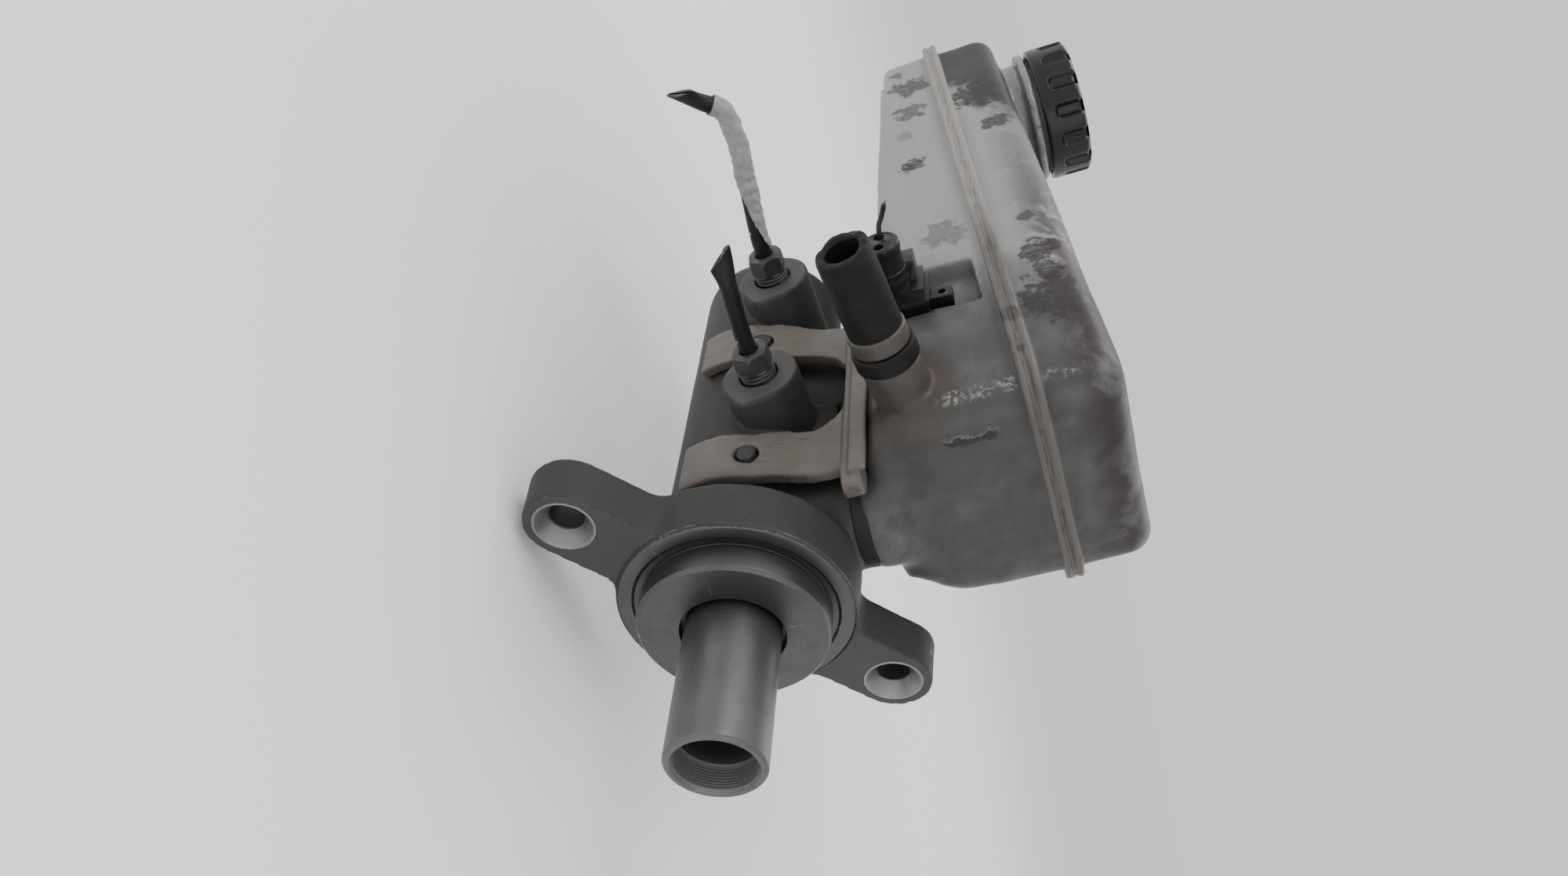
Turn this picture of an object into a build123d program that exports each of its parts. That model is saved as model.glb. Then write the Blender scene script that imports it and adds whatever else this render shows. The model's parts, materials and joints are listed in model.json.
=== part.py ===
from build123d import *
import os
from math import cos, radians, sin, tan

# Tandem brake master cylinder with a translucent plastic fluid reservoir.
# Millimetres. The bore axis is X, from the mounting flange towards the closed end.
# The origin is on the bore axis in the plane of the flange face.
# +Z is up, towards the reservoir, and the two outlet ports point along +Y.

# ---- driving dimensions: cylinder body -------------------------------------------------
BORE_R = 12.0
PISTON_R = 11.905            # secondary piston, 15/16 inch
PLUNGER_R = 11.5             # primary plunger
MOUTH_R = 12.6               # bore mouth round the plunger
BORE_END = 118.0
BODY_END = 124.5
BARREL_R = 20.6
FLANGE_R = 29.0
FLANGE_T = 12.0
FLANGE_DRAFT = 3.0
LUG_DIST = 45.8              # bolt circle radius
LUG_ANGLE = -40.3            # about X, from +Y
LUG_R = 9.7
BOLT_R = 4.5
SINK_R = 7.2
SINK_DEPTH = 3.6
FACE_STEP = 1.2              # the round seat stands this far proud of the lugs
PILOT_R = 23.0
PILOT_LEN = 8.5
RELIEF_R = 26.6              # ring groove round the root of the pilot
RELIEF_FLOOR = 0.4
PORT_X = (52.4, 96.8)
PORT_FACE_Y = 28.1
PORT_Z = 9.9
PORT_R = 10.1
INLET_X = (24.0, 68.4)
INLET_R = 13.0
INLET_TOP = 30.5
SOCKET_R = 10.5
SOCKET_FLOOR = 22.5

# ---- driving dimensions: pistons, seals and springs ------------------------------------
PISTON_REAR = -44.5
PISTON_FRONT = 38.0
PUSHROD_R = 9.2
PUSHROD_DEPTH = 30.0
SECOND_REAR = 54.0
SECOND_FRONT = 88.0
SPRING_POCKET_R = 8.3
BUSH_R = 13.5
SEAL_R = 15.9
SEAL_W = 4.8
# seals held in grooves of the bore: rear face and inner radius
BODY_SEALS = {
    "vacuum_seal": (4.0, PLUNGER_R + 0.05),
    "primary_cup_seal": (31.0, PLUNGER_R + 0.05),
    "secondary_cup_seal": (80.0, PISTON_R + 0.055),
}
PISTON_SEAL_X = 55.4
SPRING_R = 6.7
SPRING_WIRE_R = 1.1

# ---- driving dimensions: reservoir, in its own frame, tilted about Y ---------------------
TILT = 5.9
TANK_REAR = 15.2
TANK_FRONT = 214.2
TANK_NEAR_Y = 29.5           # side wall beside the outlets
TANK_FAR_Y = -34.2
TANK_TOP = 100.2
TANK_SEAM = 79.6
SUMP_LEVEL = 36.0            # height of the sump floor above the bore axis
SHELF_LEVEL = 40.5           # height of the forward floor above the bore axis
SUMP_FRONT = 58.0
WALL = 2.2
CORNER_R = 9.0
TOP_EDGE_R = 6.0
TAPER_LOW = (22.0, 40.9)     # half width and height at the foot of the tapered sump sides
TAPER_HIGH = 53.6
SPIGOT_BORE_R = 3.4          # bore of the spigots that plug into the grommets
BAY = (55.4, 75.4, 22.4, 74.2)   # sensor bay: rear, front, floor of the bay, roof
RIM_OUT = 2.3
RIM_T = 1.6
FLOAT_C = (67.0, -12.0)      # guide post of the float
FLOAT_BASE = 60.0
POST_TOP = 87.0
NECK_C = (190.7, 4.0)
NECK_R = 18.4
NECK_BORE_R = 16.4
NECK_TOP = 117.4
COLLAR_R = 21.3
CAP_R = 22.35
CAP_BASE = 109.6
CAP_TOP = 122.8
CAP_LOBES = 14

# ---- driving dimensions: straps, hose, sensor and pipes ---------------------------------
STRAP_X = (28.5, 74.5)       # legs beside the outlets
STRAP_FAR_X = (37.5, 74.5)   # legs on the other side
STRAP_W = 15.0
STRAP_IN = BARREL_R + 0.3
STRAP_T = 3.0
STRAP_SLANT = 15.0
ARCH_R = 10.0                # corners of the window between two legs
PEG_Z = 7.0
PEG_R = 2.5
HOSE_BASE = (33.5, 37.4, 46.8)
HOSE_TILT = 4.8
HOSE_R = 6.5
HOSE_BORE_R = 4.1
HOSE_LEN = 32.3
SENSOR_X = 67.3
SENSOR_Z = 46.8
PIN_OFFSETS = (-2.3, 2.3)
PIPE_R = 2.375
NUT_AF = 10.0
NUT_THREAD_R = 4.9
NUT_HEX_T = 5.4
KINK_R = 30.0                # a pipe's slight bend where it leaves its nut
PIPE_BEND_R = 6.0
REAR_PIPE = [(52.4, 19.0, 9.9), (52.4, 39.5, 9.9), (54.0, 56.0, 10.9)]
FRONT_PIPE = [(96.8, 19.0, 9.9), (96.8, 39.5, 9.9), (104.5, 77.5, 12.5), (102.7, 82.0, 7.6)]
CRIMP_LEN = 6.5
LABEL_R = 3.0
LABEL_T = 0.45

TANK = Rot(0, TILT, 0)
HOSE = Pos(*HOSE_BASE) * Rot(-90 - HOSE_TILT, 0, 0)
BOTTOM = (Align.CENTER, Align.CENTER, Align.MIN)


def rod_x(radius, x0, x1, y=0.0, z=0.0):
    """A cylinder along X between x0 and x1."""
    return Pos(x0, y, z) * Rot(0, 90, 0) * Cylinder(radius, x1 - x0, align=BOTTOM)


def rod_y(radius, y0, y1, x=0.0, z=0.0):
    """A cylinder along Y between y0 and y1."""
    return Pos(x, y0, z) * Rot(-90, 0, 0) * Cylinder(radius, y1 - y0, align=BOTTOM)


def rod_z(radius, z0, z1, x=0.0, y=0.0):
    """A cylinder along Z between z0 and z1."""
    return Pos(x, y, z0) * Cylinder(radius, z1 - z0, align=BOTTOM)


def block(x0, x1, y0, y1, z0, z1):
    """A box between two corners."""
    centre = Pos((x0 + x1) / 2, (y0 + y1) / 2, (z0 + z1) / 2)
    return centre * Box(x1 - x0, y1 - y0, z1 - z0)


def turned(*points):
    """A solid turned about X from a closed outline of (x, radius) points."""
    outline = Polyline(*[(x, r, 0) for x, r in points], close=True)
    return revolve(make_face(outline), Axis.X, 360)


def tank_height(level, e):
    """Height in the tilted frame of a level floor, at distance e along the tank."""
    return level / cos(radians(TILT)) + e * tan(radians(TILT))


# ---- cylinder body ----------------------------------------------------------------------
def flange():
    """Round mounting flange with two bolt lugs, drafted towards the casting."""
    outline = Circle(FLANGE_R)
    for turn in (0, 180):
        lug = Pos(LUG_DIST / 2, 0) * Rectangle(LUG_DIST, 2 * LUG_R) + Pos(LUG_DIST, 0) * Circle(LUG_R)
        outline += Rot(0, 0, turn + LUG_ANGLE) * lug
    roots = [v for v in outline.vertices() if abs(Vector(v.X, v.Y, 0).length - FLANGE_R) < 0.1]
    outline = fillet(roots, 6.0)
    face = Plane(origin=(0, 0, 0), x_dir=(0, 1, 0), z_dir=(1, 0, 0)) * outline
    plate = extrude(face, FLANGE_T, dir=(1, 0, 0), taper=-FLANGE_DRAFT)
    seat = rod_x(FLANGE_R - 0.1, -FACE_STEP, 1.0)
    plate += chamfer(seat.edges().filter_by(GeomType.CIRCLE).sort_by(Axis.X)[0], 0.4)
    for turn in (0, 180):
        where = Rot(turn + LUG_ANGLE, 0, 0) * Pos(0, LUG_DIST, 0) * Rot(0, 90, 0)
        plate -= where * Cylinder(BOLT_R, 2 * FLANGE_T, align=BOTTOM)
        plate -= where * Cone(SINK_R, BOLT_R, SINK_DEPTH, align=BOTTOM)
    return plate


def port_boss(x):
    """Teardrop boss for one outlet, with its point towards the flange."""
    plane = Plane(origin=(x, PORT_FACE_Y, PORT_Z), x_dir=(1, 0, 0), z_dir=(0, 1, 0))
    tip = Pos(-8.2, 2.6) * Circle(3.4)
    boss = extrude(plane * make_hull(Circle(PORT_R).edges() + tip.edges()), PORT_FACE_Y - 6.0, dir=(0, -1, 0))
    return chamfer(boss.faces().sort_by(Axis.Y)[-1].edges(), 0.4)


def seal_groove(x):
    return rod_x(SEAL_R + 0.1, x - 0.1, x + SEAL_W + 0.1)


def cylinder_body():
    body = rod_x(BARREL_R, 4.0, BODY_END)
    body = fillet(body.edges().filter_by(GeomType.CIRCLE).sort_by(Axis.X)[-1], 8.5)
    body += flange()
    body += rod_x(PILOT_R, -PILOT_LEN, 1.0)
    body = chamfer(body.edges().filter_by(GeomType.CIRCLE).sort_by(Axis.X)[0], 0.9)
    body += block(6.0, 76.0, -9.5, 9.5, 5.0, 25.5)
    for x in INLET_X:
        body += Pos(x, 0, 4.0) * Cone(INLET_R + 2.2, INLET_R, INLET_TOP - 4.0, align=BOTTOM)
    for x in PORT_X:
        body += port_boss(x)
    for near, far in zip(STRAP_X, STRAP_FAR_X):
        body += rod_y(PEG_R, 0, 23.2, near, PEG_Z) + rod_y(PEG_R, -23.2, 0, far, PEG_Z)
    # bore, with wider stretches round the two outlets and the two inlets
    body -= rod_x(BORE_R, -PILOT_LEN, BORE_END)
    body -= rod_x(MOUTH_R, -PILOT_LEN - 0.1, -6.0) + rod_x(BUSH_R, -6.0, 3.2)
    body -= rod_x(13.0, 41.0, 53.6)
    body -= rod_x(13.0, 90.0, BORE_END)
    body -= rod_x(13.2, 20.0, 28.0)
    body -= rod_x(13.2, 75.2, 77.8)
    for x, _ in BODY_SEALS.values():
        body -= seal_groove(x)
    relief = rod_x(RELIEF_R, -FACE_STEP - 0.1, RELIEF_FLOOR) - rod_x(PILOT_R, -4, RELIEF_FLOOR + 1)
    body -= relief
    for x in PORT_X:
        body -= rod_y(NUT_THREAD_R + 0.1, 16.0, PORT_FACE_Y + 0.1, x, PORT_Z)
        body -= rod_y(1.9, 4.0, 16.5, x, PORT_Z)
    for x, feed in zip(INLET_X, (INLET_X[0], 76.5)):
        body -= rod_z(SOCKET_R, SOCKET_FLOOR, INLET_TOP + 0.1, x)
        body -= rod_z(1.2, 10.0, SOCKET_FLOOR + 0.1, feed)
    return body


# ---- pistons, seals, springs ------------------------------------------------------------
def primary_piston():
    mouth = PUSHROD_R
    piston = turned(
        (PISTON_REAR, mouth + 0.6), (PISTON_REAR, PLUNGER_R - 0.6), (PISTON_REAR + 0.6, PLUNGER_R),
        (PISTON_FRONT - 1.0, PLUNGER_R), (PISTON_FRONT, PLUNGER_R - 1.0),
        (PISTON_FRONT, SPRING_POCKET_R), (20.0, SPRING_POCKET_R), (20.0, 0),
        (PISTON_REAR + PUSHROD_DEPTH + 6.0, 0), (PISTON_REAR + PUSHROD_DEPTH + 3.0, 4.6),
        (PISTON_REAR + PUSHROD_DEPTH, 6.6), (PISTON_REAR + PUSHROD_DEPTH, mouth - 0.9),
        (PISTON_REAR + 6.0, mouth - 0.9), (PISTON_REAR + 6.0, mouth), (PISTON_REAR + 0.6, mouth))
    for turn in range(4):
        drill = Pos(36.9, 0, 0) * Rot(turn * 90 + 45, 0, 0) * Cylinder(0.6, 30, align=BOTTOM)
        piston -= drill
    return piston


def secondary_piston():
    seat = PISTON_SEAL_X
    return turned(
        (SECOND_REAR, SPRING_POCKET_R), (SECOND_REAR, PISTON_R), (seat - 0.1, PISTON_R),
        (seat - 0.1, 9.4), (seat + 3.9, 9.4), (seat + 3.9, PISTON_R),
        (SECOND_FRONT - 1.0, PISTON_R), (SECOND_FRONT, PISTON_R - 1.0),
        (SECOND_FRONT, SPRING_POCKET_R), (76.0, SPRING_POCKET_R), (76.0, 0),
        (60.0, 0), (60.0, SPRING_POCKET_R))


def cup_seal(x, inner, outer, width):
    """A cup seal with its open side towards the pressure chamber at +X."""
    middle = (inner + outer) / 2
    return turned(
        (x, inner + 0.3), (x, outer - 0.3), (x + 0.3, outer), (x + width, outer),
        (x + width, outer - 0.8), (x + width * 0.45, middle + 0.2), (x + width * 0.45, middle - 0.2),
        (x + width, inner + 0.8), (x + width, inner), (x + 0.3, inner))


def coil_spring(x0, x1, turns):
    """A round-wire compression spring between two flat seats."""
    x0, x1 = x0 + SPRING_WIRE_R + 0.05, x1 - SPRING_WIRE_R - 0.05
    path = Helix(pitch=(x1 - x0) / turns, height=x1 - x0, radius=SPRING_R)
    start = path @ 0
    section = Plane(origin=start, z_dir=path % 0) * Circle(SPRING_WIRE_R)
    coil = sweep(section, path, is_frenet=True)
    return Pos(x0, 0, 0) * Rot(0, 90, 0) * coil


def guide_bush():
    """Plastic bush that guides the plunger just inside the mouth."""
    return turned((-5.9, PLUNGER_R + 0.05), (-5.9, BUSH_R - 0.5), (-5.4, BUSH_R - 0.02),
                  (3.1, BUSH_R - 0.02), (3.1, PLUNGER_R + 0.05))


def guide_pin():
    """Headed pin that rides in the primary piston and holds the spring captive."""
    return turned((20.1, 0), (20.1, 5.2), (21.1, 5.2), (21.1, 2.0), (40.9, 2.0), (40.9, 3.4),
                  (42.3, 3.4), (42.3, 0))


def guide_sleeve():
    """Sleeve on the secondary piston that the headed pin slides in."""
    return turned((39.4, 2.5), (39.4, 4.8), (58.8, 4.8), (58.8, 5.2), (59.9, 5.2), (59.9, 0),
                  (58.8, 0), (58.8, 3.9), (40.4, 3.9), (40.4, 2.5))


# ---- pipe fittings ----------------------------------------------------------------------
def pipe_nut(x):
    """Tube nut: thread, round collar and hexagon, drilled for the pipe."""
    flats_y = PORT_FACE_Y + 2.7
    nut = rod_y(NUT_THREAD_R, 18.0, flats_y, x, PORT_Z)
    for i in range(2):
        y = PORT_FACE_Y + 0.7 + i * 1.0
        nut += rod_y(NUT_THREAD_R + 0.35, y, y + 0.5, x, PORT_Z)
    plane = Plane(origin=(x, flats_y, PORT_Z), x_dir=(1, 0, 0), z_dir=(0, 1, 0))
    hexagon = extrude(plane * RegularPolygon(NUT_AF / 2, 6, major_radius=False), NUT_HEX_T)
    rounding = Pos(x, flats_y, PORT_Z) * Rot(-90, 0, 0) * Cone(6.4, 5.0, NUT_HEX_T, align=BOTTOM)
    nut += hexagon & (rounding + rod_y(5.5, flats_y, flats_y + NUT_HEX_T - 1.2, x, PORT_Z))
    return nut - rod_y(PIPE_R + 0.08, 17.0, flats_y + 8.0, x, PORT_Z)


def crimped_pipe(points, radii, flat_dir):
    """A steel pipe along straight runs and arcs, squeezed flat at its cut end."""
    path = FilletPolyline(*points, radius=radii)
    section = Plane(origin=points[0], z_dir=Vector(*points[1]) - Vector(*points[0])) * Circle(PIPE_R)
    end_dir = Vector(*points[-1]) - Vector(*points[-2])
    tip = Plane(origin=points[-1], x_dir=end_dir.cross(Vector(*flat_dir)).cross(end_dir), z_dir=end_dir)
    flat_end = tip.offset(CRIMP_LEN) * RectangleRounded(5.0, 2.2, 1.0)
    return sweep(section, path) + loft([tip * Circle(PIPE_R), flat_end])


def pipe_label():
    """Paper label wrapped round the straight run of the front pipe."""
    start, end = Vector(*FRONT_PIPE[1]), Vector(*FRONT_PIPE[2])
    along = (end - start).normalized()
    plane = Plane(origin=start + along * 5.5, z_dir=along)
    wrap = Circle(LABEL_R) - Circle(LABEL_R - LABEL_T)
    return extrude(plane * wrap, (end - start).length - 10.5)


# ---- reservoir --------------------------------------------------------------------------
def tank_block(inset):
    """Whole reservoir as one block, each wall moved in by the inset."""
    rear, front = TANK_REAR + inset, TANK_FRONT - inset
    floor = inset / cos(radians(TILT))
    step = SUMP_FRONT - inset
    points = [
        (rear, tank_height(SUMP_LEVEL, rear) + floor), (step, tank_height(SUMP_LEVEL, step) + floor),
        (step + 3.0, tank_height(SHELF_LEVEL, step) + floor),
        (front, tank_height(SHELF_LEVEL, front) + floor), (front, TANK_TOP - inset), (rear, TANK_TOP - inset)]
    near, far = TANK_NEAR_Y - inset, TANK_FAR_Y + inset
    outline = make_face(Polyline(*[(e, far, c) for e, c in points], close=True))
    tank = extrude(outline, near - far, dir=(0, 1, 0))
    ends = [e for e in tank.edges().filter_by(Axis.Z)
            if e.center().X < rear + 1 or e.center().X > front - 1]
    tank = fillet(ends, CORNER_R - inset)
    tank = fillet(tank.faces().sort_by(Axis.Z)[-1].edges(), TOP_EDGE_R - inset)
    # tapered lower sides of the sump
    low_y, low_c = TAPER_LOW
    for side, wall in ((1, near), (-1, -far)):
        low, high, out = side * (low_y - inset), side * wall, side * (wall + 9)
        wedge = make_face(Polyline(
            (0, low, 0), (0, low, low_c + inset), (0, high, TAPER_HIGH + inset),
            (0, out, TAPER_HIGH + inset), (0, out, 0), close=True))
        end = SUMP_FRONT - inset + 1.0
        tank -= Pos(rear - 5, 0, 0) * extrude(wedge, end - rear + 5, dir=(1, 0, 0))
    bay_rear, bay_front, bay_floor, bay_roof = BAY
    tank -= block(bay_rear - inset, bay_front + inset, bay_floor - inset, near + 5, 20, bay_roof + inset)
    return tank


def rim(z0, z1):
    """One half of the welded rim that runs right round the tank."""
    ring = block(TANK_REAR - RIM_OUT, TANK_FRONT + RIM_OUT, TANK_FAR_Y - RIM_OUT, TANK_NEAR_Y + RIM_OUT, z0, z1)
    ring = fillet(ring.edges().filter_by(Axis.Z), CORNER_R + RIM_OUT)
    hole = block(TANK_REAR + 1, TANK_FRONT - 1, TANK_FAR_Y + 1, TANK_NEAR_Y - 1, z0 - 1, z1 + 1)
    return ring - fillet(hole.edges().filter_by(Axis.Z), CORNER_R - 1)


def tank_shell():
    return tank_block(0.0) - tank_block(WALL)


def split_band(z0, z1):
    return block(TANK_REAR - 20, TANK_FRONT + 20, -60, 60, z0, z1)


def lower_shell(shell):
    seam = TANK_SEAM
    lower = shell & split_band(-40, seam)
    lower += rim(seam - RIM_T, seam)
    post_foot = tank_height(SHELF_LEVEL, FLOAT_C[0]) + 1.0
    lower += rod_z(2.5, post_foot, POST_TOP, *FLOAT_C)
    lower = TANK * lower
    for x in INLET_X:
        floor = SUMP_LEVEL if x < 50 else SHELF_LEVEL
        lower += rod_z(7.0, 25.0, floor + 1.0, x)
        lower -= rod_z(SPIGOT_BORE_R, 24.0, floor + 4.0, x)
    # blind sleeve for the reed stem, and the hose nipple with its shoulder
    lower += rod_y(5.6, -3.0, BAY[2] - 1.0, SENSOR_X, SENSOR_Z)
    lower -= rod_y(3.9, -1.4, BAY[2] + 1.0, SENSOR_X, SENSOR_Z)
    inside = TANK * tank_block(WALL)
    lower += (hose_rod(7.2, -15.0, 0.8) + hose_rod(4.0, -15.0, 14.0)) - inside
    return lower - hose_rod(2.7, -19.0, 15.0)


def upper_shell(shell):
    seam = TANK_SEAM
    upper = shell & split_band(seam, TANK_TOP + 5)
    upper += rim(seam, seam + RIM_T)
    x, y = NECK_C
    upper += rod_z(NECK_R, TANK_TOP - WALL, NECK_TOP, x, y)
    upper += rod_z(COLLAR_R, 105.4, 108.2, x, y)
    for z in (111.4, 114.2):
        upper += rod_z(NECK_R + 1.3, z, z + 1.3, x, y)
    upper -= rod_z(NECK_BORE_R, TANK_TOP - 2 * WALL, NECK_TOP + 1, x, y)
    return TANK * upper


def strainer():
    """Basket strainer that hangs in the filler neck from its rim."""
    x, y = NECK_C
    basket = rod_z(NECK_BORE_R - 0.4, 88.0, NECK_TOP + 0.1, x, y)
    basket += rod_z(NECK_R - 0.2, NECK_TOP + 0.05, NECK_TOP + 0.9, x, y)
    basket -= rod_z(NECK_BORE_R - 1.4, 89.0, NECK_TOP + 2, x, y)
    slots = 12
    for i in range(slots):
        slot = Pos(NECK_BORE_R - 1, 0, 94.5) * Box(5, 3.2, 8.0)
        basket -= Pos(x, y, 0) * Rot(0, 0, i * 360 / slots) * slot
    return TANK * basket


def filler_cap():
    """Screw cap with rounded grip lobes and flutes between them."""
    x, y = NECK_C
    height = CAP_TOP - CAP_BASE
    grip = Circle(CAP_R - 1.0)
    for i in range(CAP_LOBES):
        lobe = Pos(CAP_R - 2.6, 0) * Circle(2.6)
        grip += Rot(0, 0, i * 360 / CAP_LOBES) * lobe
    cap = extrude(grip, height)
    cap = chamfer(cap.faces().sort_by(Axis.Z)[-1].edges(), 0.7)
    cap -= Cylinder(20.2, 10.1, align=BOTTOM)
    cap -= Pos(0, 0, height - 0.7) * (Cylinder(16.0, 1.0, align=BOTTOM) - Cylinder(9.0, 1.0, align=BOTTOM))
    return TANK * Pos(x, y, CAP_BASE) * cap


def cap_seal():
    x, y = NECK_C
    ring = rod_z(18.2, NECK_TOP + 1.0, NECK_TOP + 2.2, x, y) - rod_z(14.4, 100, 130, x, y)
    return TANK * ring


def level_float():
    e, y = FLOAT_C
    body = rod_z(11.0, FLOAT_BASE, FLOAT_BASE + 12.0, e, y) - rod_z(2.9, 0, 150, e, y)
    body = fillet(body.edges().filter_by(GeomType.CIRCLE).sort_by(Axis.Z)[-1], 1.5)
    body -= rod_z(2.6, FLOAT_BASE, FLOAT_BASE + 4.0, e, y + 7.0)
    return TANK * body


def float_magnet():
    e, y = FLOAT_C
    return TANK * rod_z(2.5, FLOAT_BASE + 0.2, FLOAT_BASE + 3.9, e, y + 7.0)


def grommet(x):
    """Rubber grommet between an inlet boss and a reservoir spigot."""
    top = INLET_TOP
    ring = rod_z(SOCKET_R - 0.05, SOCKET_FLOOR + 0.1, top, x) + rod_z(INLET_R, top + 0.02, top + 3.6, x)
    ring = ring + rod_z(SOCKET_R - 0.4, top - 1, top + 1, x)
    for z in (24.6, 27.4):
        ring -= rod_z(SOCKET_R + 1, z, z + 0.9, x) - rod_z(SOCKET_R - 0.7, z, z + 0.9, x)
    return ring - rod_z(7.05, 20, 40, x)


# ---- straps -----------------------------------------------------------------------------
def strap_leg(x, width):
    """One leg: up the side of the barrel, bowed out over it and hooked under it."""
    low, high = radians(-26), radians(20)
    outer_r, inner_r = STRAP_IN + STRAP_T, STRAP_IN
    middle = (low + high) / 2

    def polar(radius, angle):
        return (0, radius * cos(angle), radius * sin(angle))
    top_outer, top_inner = (0, 20.3, 32.0), (0, 17.0, 32.0)
    edges = [
        ThreePointArc(polar(outer_r, low), polar(outer_r, middle), polar(outer_r, high)),
        Line(polar(outer_r, high), top_outer), Line(top_outer, top_inner),
        Line(top_inner, polar(inner_r, high)),
        ThreePointArc(polar(inner_r, high), polar(inner_r, middle), polar(inner_r, low)),
        Line(polar(inner_r, low), polar(outer_r, low))]
    return Pos(x - width / 2, 0, 0) * extrude(make_face(edges), width, dir=(1, 0, 0))


def strap_side(x0, legs):
    """Rail with a raised lip, two legs, and a web with an arched window between them."""
    top = SUMP_LEVEL - 0.1
    side = fillet(block(x0, 86.0, 14.6, 21.6, 31.0, top).edges().filter_by(Axis.Z), 3.0)
    side += block(x0 + 1.5, 60.0, 22.2, 23.6, 33.0, 37.4) + block(x0 + 1.5, 60.0, 20.0, 22.4, 33.0, 35.0)
    edge0, edge1 = legs[0] + STRAP_W / 2, legs[1] - STRAP_W / 2
    web = strap_leg((edge0 + edge1) / 2, edge1 - edge0 + 1.0) & block(edge0 - 2, edge1 + 2, 10, 30, 14, 32)
    window = fillet(block(edge0, edge1, 10, 30, -9, 30.6).edges().filter_by(Axis.Y), ARCH_R)
    side += web - window
    for x in legs:
        side += strap_leg(x, STRAP_W) - rod_y(PEG_R + 0.6, 15, 30, x, PEG_Z)
    return side


def strap_saddle():
    """Two rails under the reservoir, joined by bridges, with four snap legs."""
    saddle = strap_side(13.5, STRAP_X) + mirror(strap_side(30.0, STRAP_FAR_X), about=Plane.XZ)
    for x0, x1 in ((40.5, 51.0), (82.5, 86.0)):
        saddle += block(x0, x1, -15.0, 15.0, 33.6, SUMP_LEVEL - 0.1)
    # the front edge slants back from the barrel up to the rails
    saddle -= Pos(82.0, 0, 11.0) * Rot(0, -STRAP_SLANT, 0) * block(0, 30, -40, 40, 0, 20.7)
    return saddle - TANK * tank_block(-0.1)


# ---- clutch hose stub and level sensor ---------------------------------------------------
def hose_rod(radius, s0, s1):
    """A cylinder on the tilted hose axis, between two distances from its base."""
    return HOSE * Pos(0, 0, s0) * Cylinder(radius, s1 - s0, align=BOTTOM)


def hose_stub():
    hose = hose_rod(HOSE_R, 10.5, HOSE_LEN) - hose_rod(4.05, 9, 15.0)
    hose -= hose_rod(HOSE_BORE_R, 14.5, HOSE_LEN + 1)
    return fillet(hose.edges().filter_by(GeomType.CIRCLE).sort_by(Axis.Y)[-2:], 0.6)


def hose_ring(s0, s1, radius):
    ring = hose_rod(radius, s0, s1) - hose_rod(4.05, s0 - 1, s1 + 1)
    return chamfer(ring.edges().filter_by(GeomType.CIRCLE).sort_by(Axis.Y)[-1], 0.4)


def level_sensor():
    """Reed stem and plug housing of the fluid level sensor."""
    x, z = SENSOR_X, SENSOR_Z
    foot = BAY[2] + 0.4
    body = rod_y(3.6, -0.6, foot + 1.0, x, z)
    body += block(x - 5.4, x + 5.4, foot, 36.5, z - 6.0, z + 8.0)
    body += block(x - 0.5, x + 5.4, 36.0, 42.0, z - 3.0, z + 6.7)
    body += block(x - 6.3, x + 6.3, 32.0, 33.4, z - 6.5, z + 8.7)
    body += rod_y(4.7, 36.0, 49.5, x - 1.0, z) + rod_y(5.3, 38.5, 40.0, x - 1.0, z)
    body += block(x - 2.2, x + 2.2, 27.5, 31.0, z + 8.0, z + 14.2)
    body -= rod_y(1.0, 25.0, 33.0, x, z + 11.6)
    for off in PIN_OFFSETS:
        body -= rod_y(1.35, 41.0, 50.0, x - 1.0 + off, z)
    return body


def sensor_terminals():
    """The two blade pins, as one group of separate solids."""
    return Compound(children=[
        rod_y(0.7, 41.05, 48.0, SENSOR_X - 1.0 + off, SENSOR_Z).solid() for off in PIN_OFFSETS])


def sensor_wire():
    """Broken end of a lead, held in the upper pin hole of the plug."""
    x, z = SENSOR_X - 1.0 + PIN_OFFSETS[1], SENSOR_Z
    route = [(x, 48.1, z), (x + 0.6, 52.0, z + 0.4), (x + 2.2, 57.0, z + 3.2)]
    path = FilletPolyline(*route, radius=8.0)
    start = Plane(origin=route[0], z_dir=Vector(*route[1]) - Vector(*route[0]))
    return sweep(start * Circle(0.65), path)


shell = tank_shell()
parts = {
    "cylinder_body": cylinder_body(),
    "primary_piston": primary_piston(),
    "secondary_piston": secondary_piston(),
    "piston_seal": cup_seal(PISTON_SEAL_X, 9.45, 11.96, 3.7),
    "primary_spring": coil_spring(21.1, 58.8, 7.5),
    "secondary_spring": coil_spring(76.0, BORE_END, 8.5),
    "guide_bush": guide_bush(),
    "guide_pin": guide_pin(),
    "guide_sleeve": guide_sleeve(),
    "grommet_rear": grommet(INLET_X[0]),
    "grommet_front": grommet(INLET_X[1]),
    "reservoir_lower_shell": lower_shell(shell),
    "reservoir_upper_shell": upper_shell(shell),
    "strap_saddle": strap_saddle(),
    "filler_strainer": strainer(),
    "filler_cap": filler_cap(),
    "cap_seal": cap_seal(),
    "level_float": level_float(),
    "float_magnet": float_magnet(),
    "clutch_hose_stub": hose_stub(),
    "hose_sleeve": hose_ring(5.8, 10.4, 7.0),
    "hose_collar": hose_ring(0.9, 5.7, 7.7),
    "level_sensor": level_sensor(),
    "sensor_terminals": sensor_terminals(),
    "sensor_wire": sensor_wire(),
    "pipe_nut_rear": pipe_nut(PORT_X[0]),
    "pipe_nut_front": pipe_nut(PORT_X[1]),
    "brake_pipe_rear": crimped_pipe(REAR_PIPE, [KINK_R], (0, 0, 1)),
    "brake_pipe_front": crimped_pipe(FRONT_PIPE, [KINK_R, PIPE_BEND_R], (1, 0, 0)),
    "pipe_label": pipe_label(),
}
for name, (x, inner) in BODY_SEALS.items():
    parts[name] = cup_seal(x, inner, SEAL_R, SEAL_W)

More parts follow.
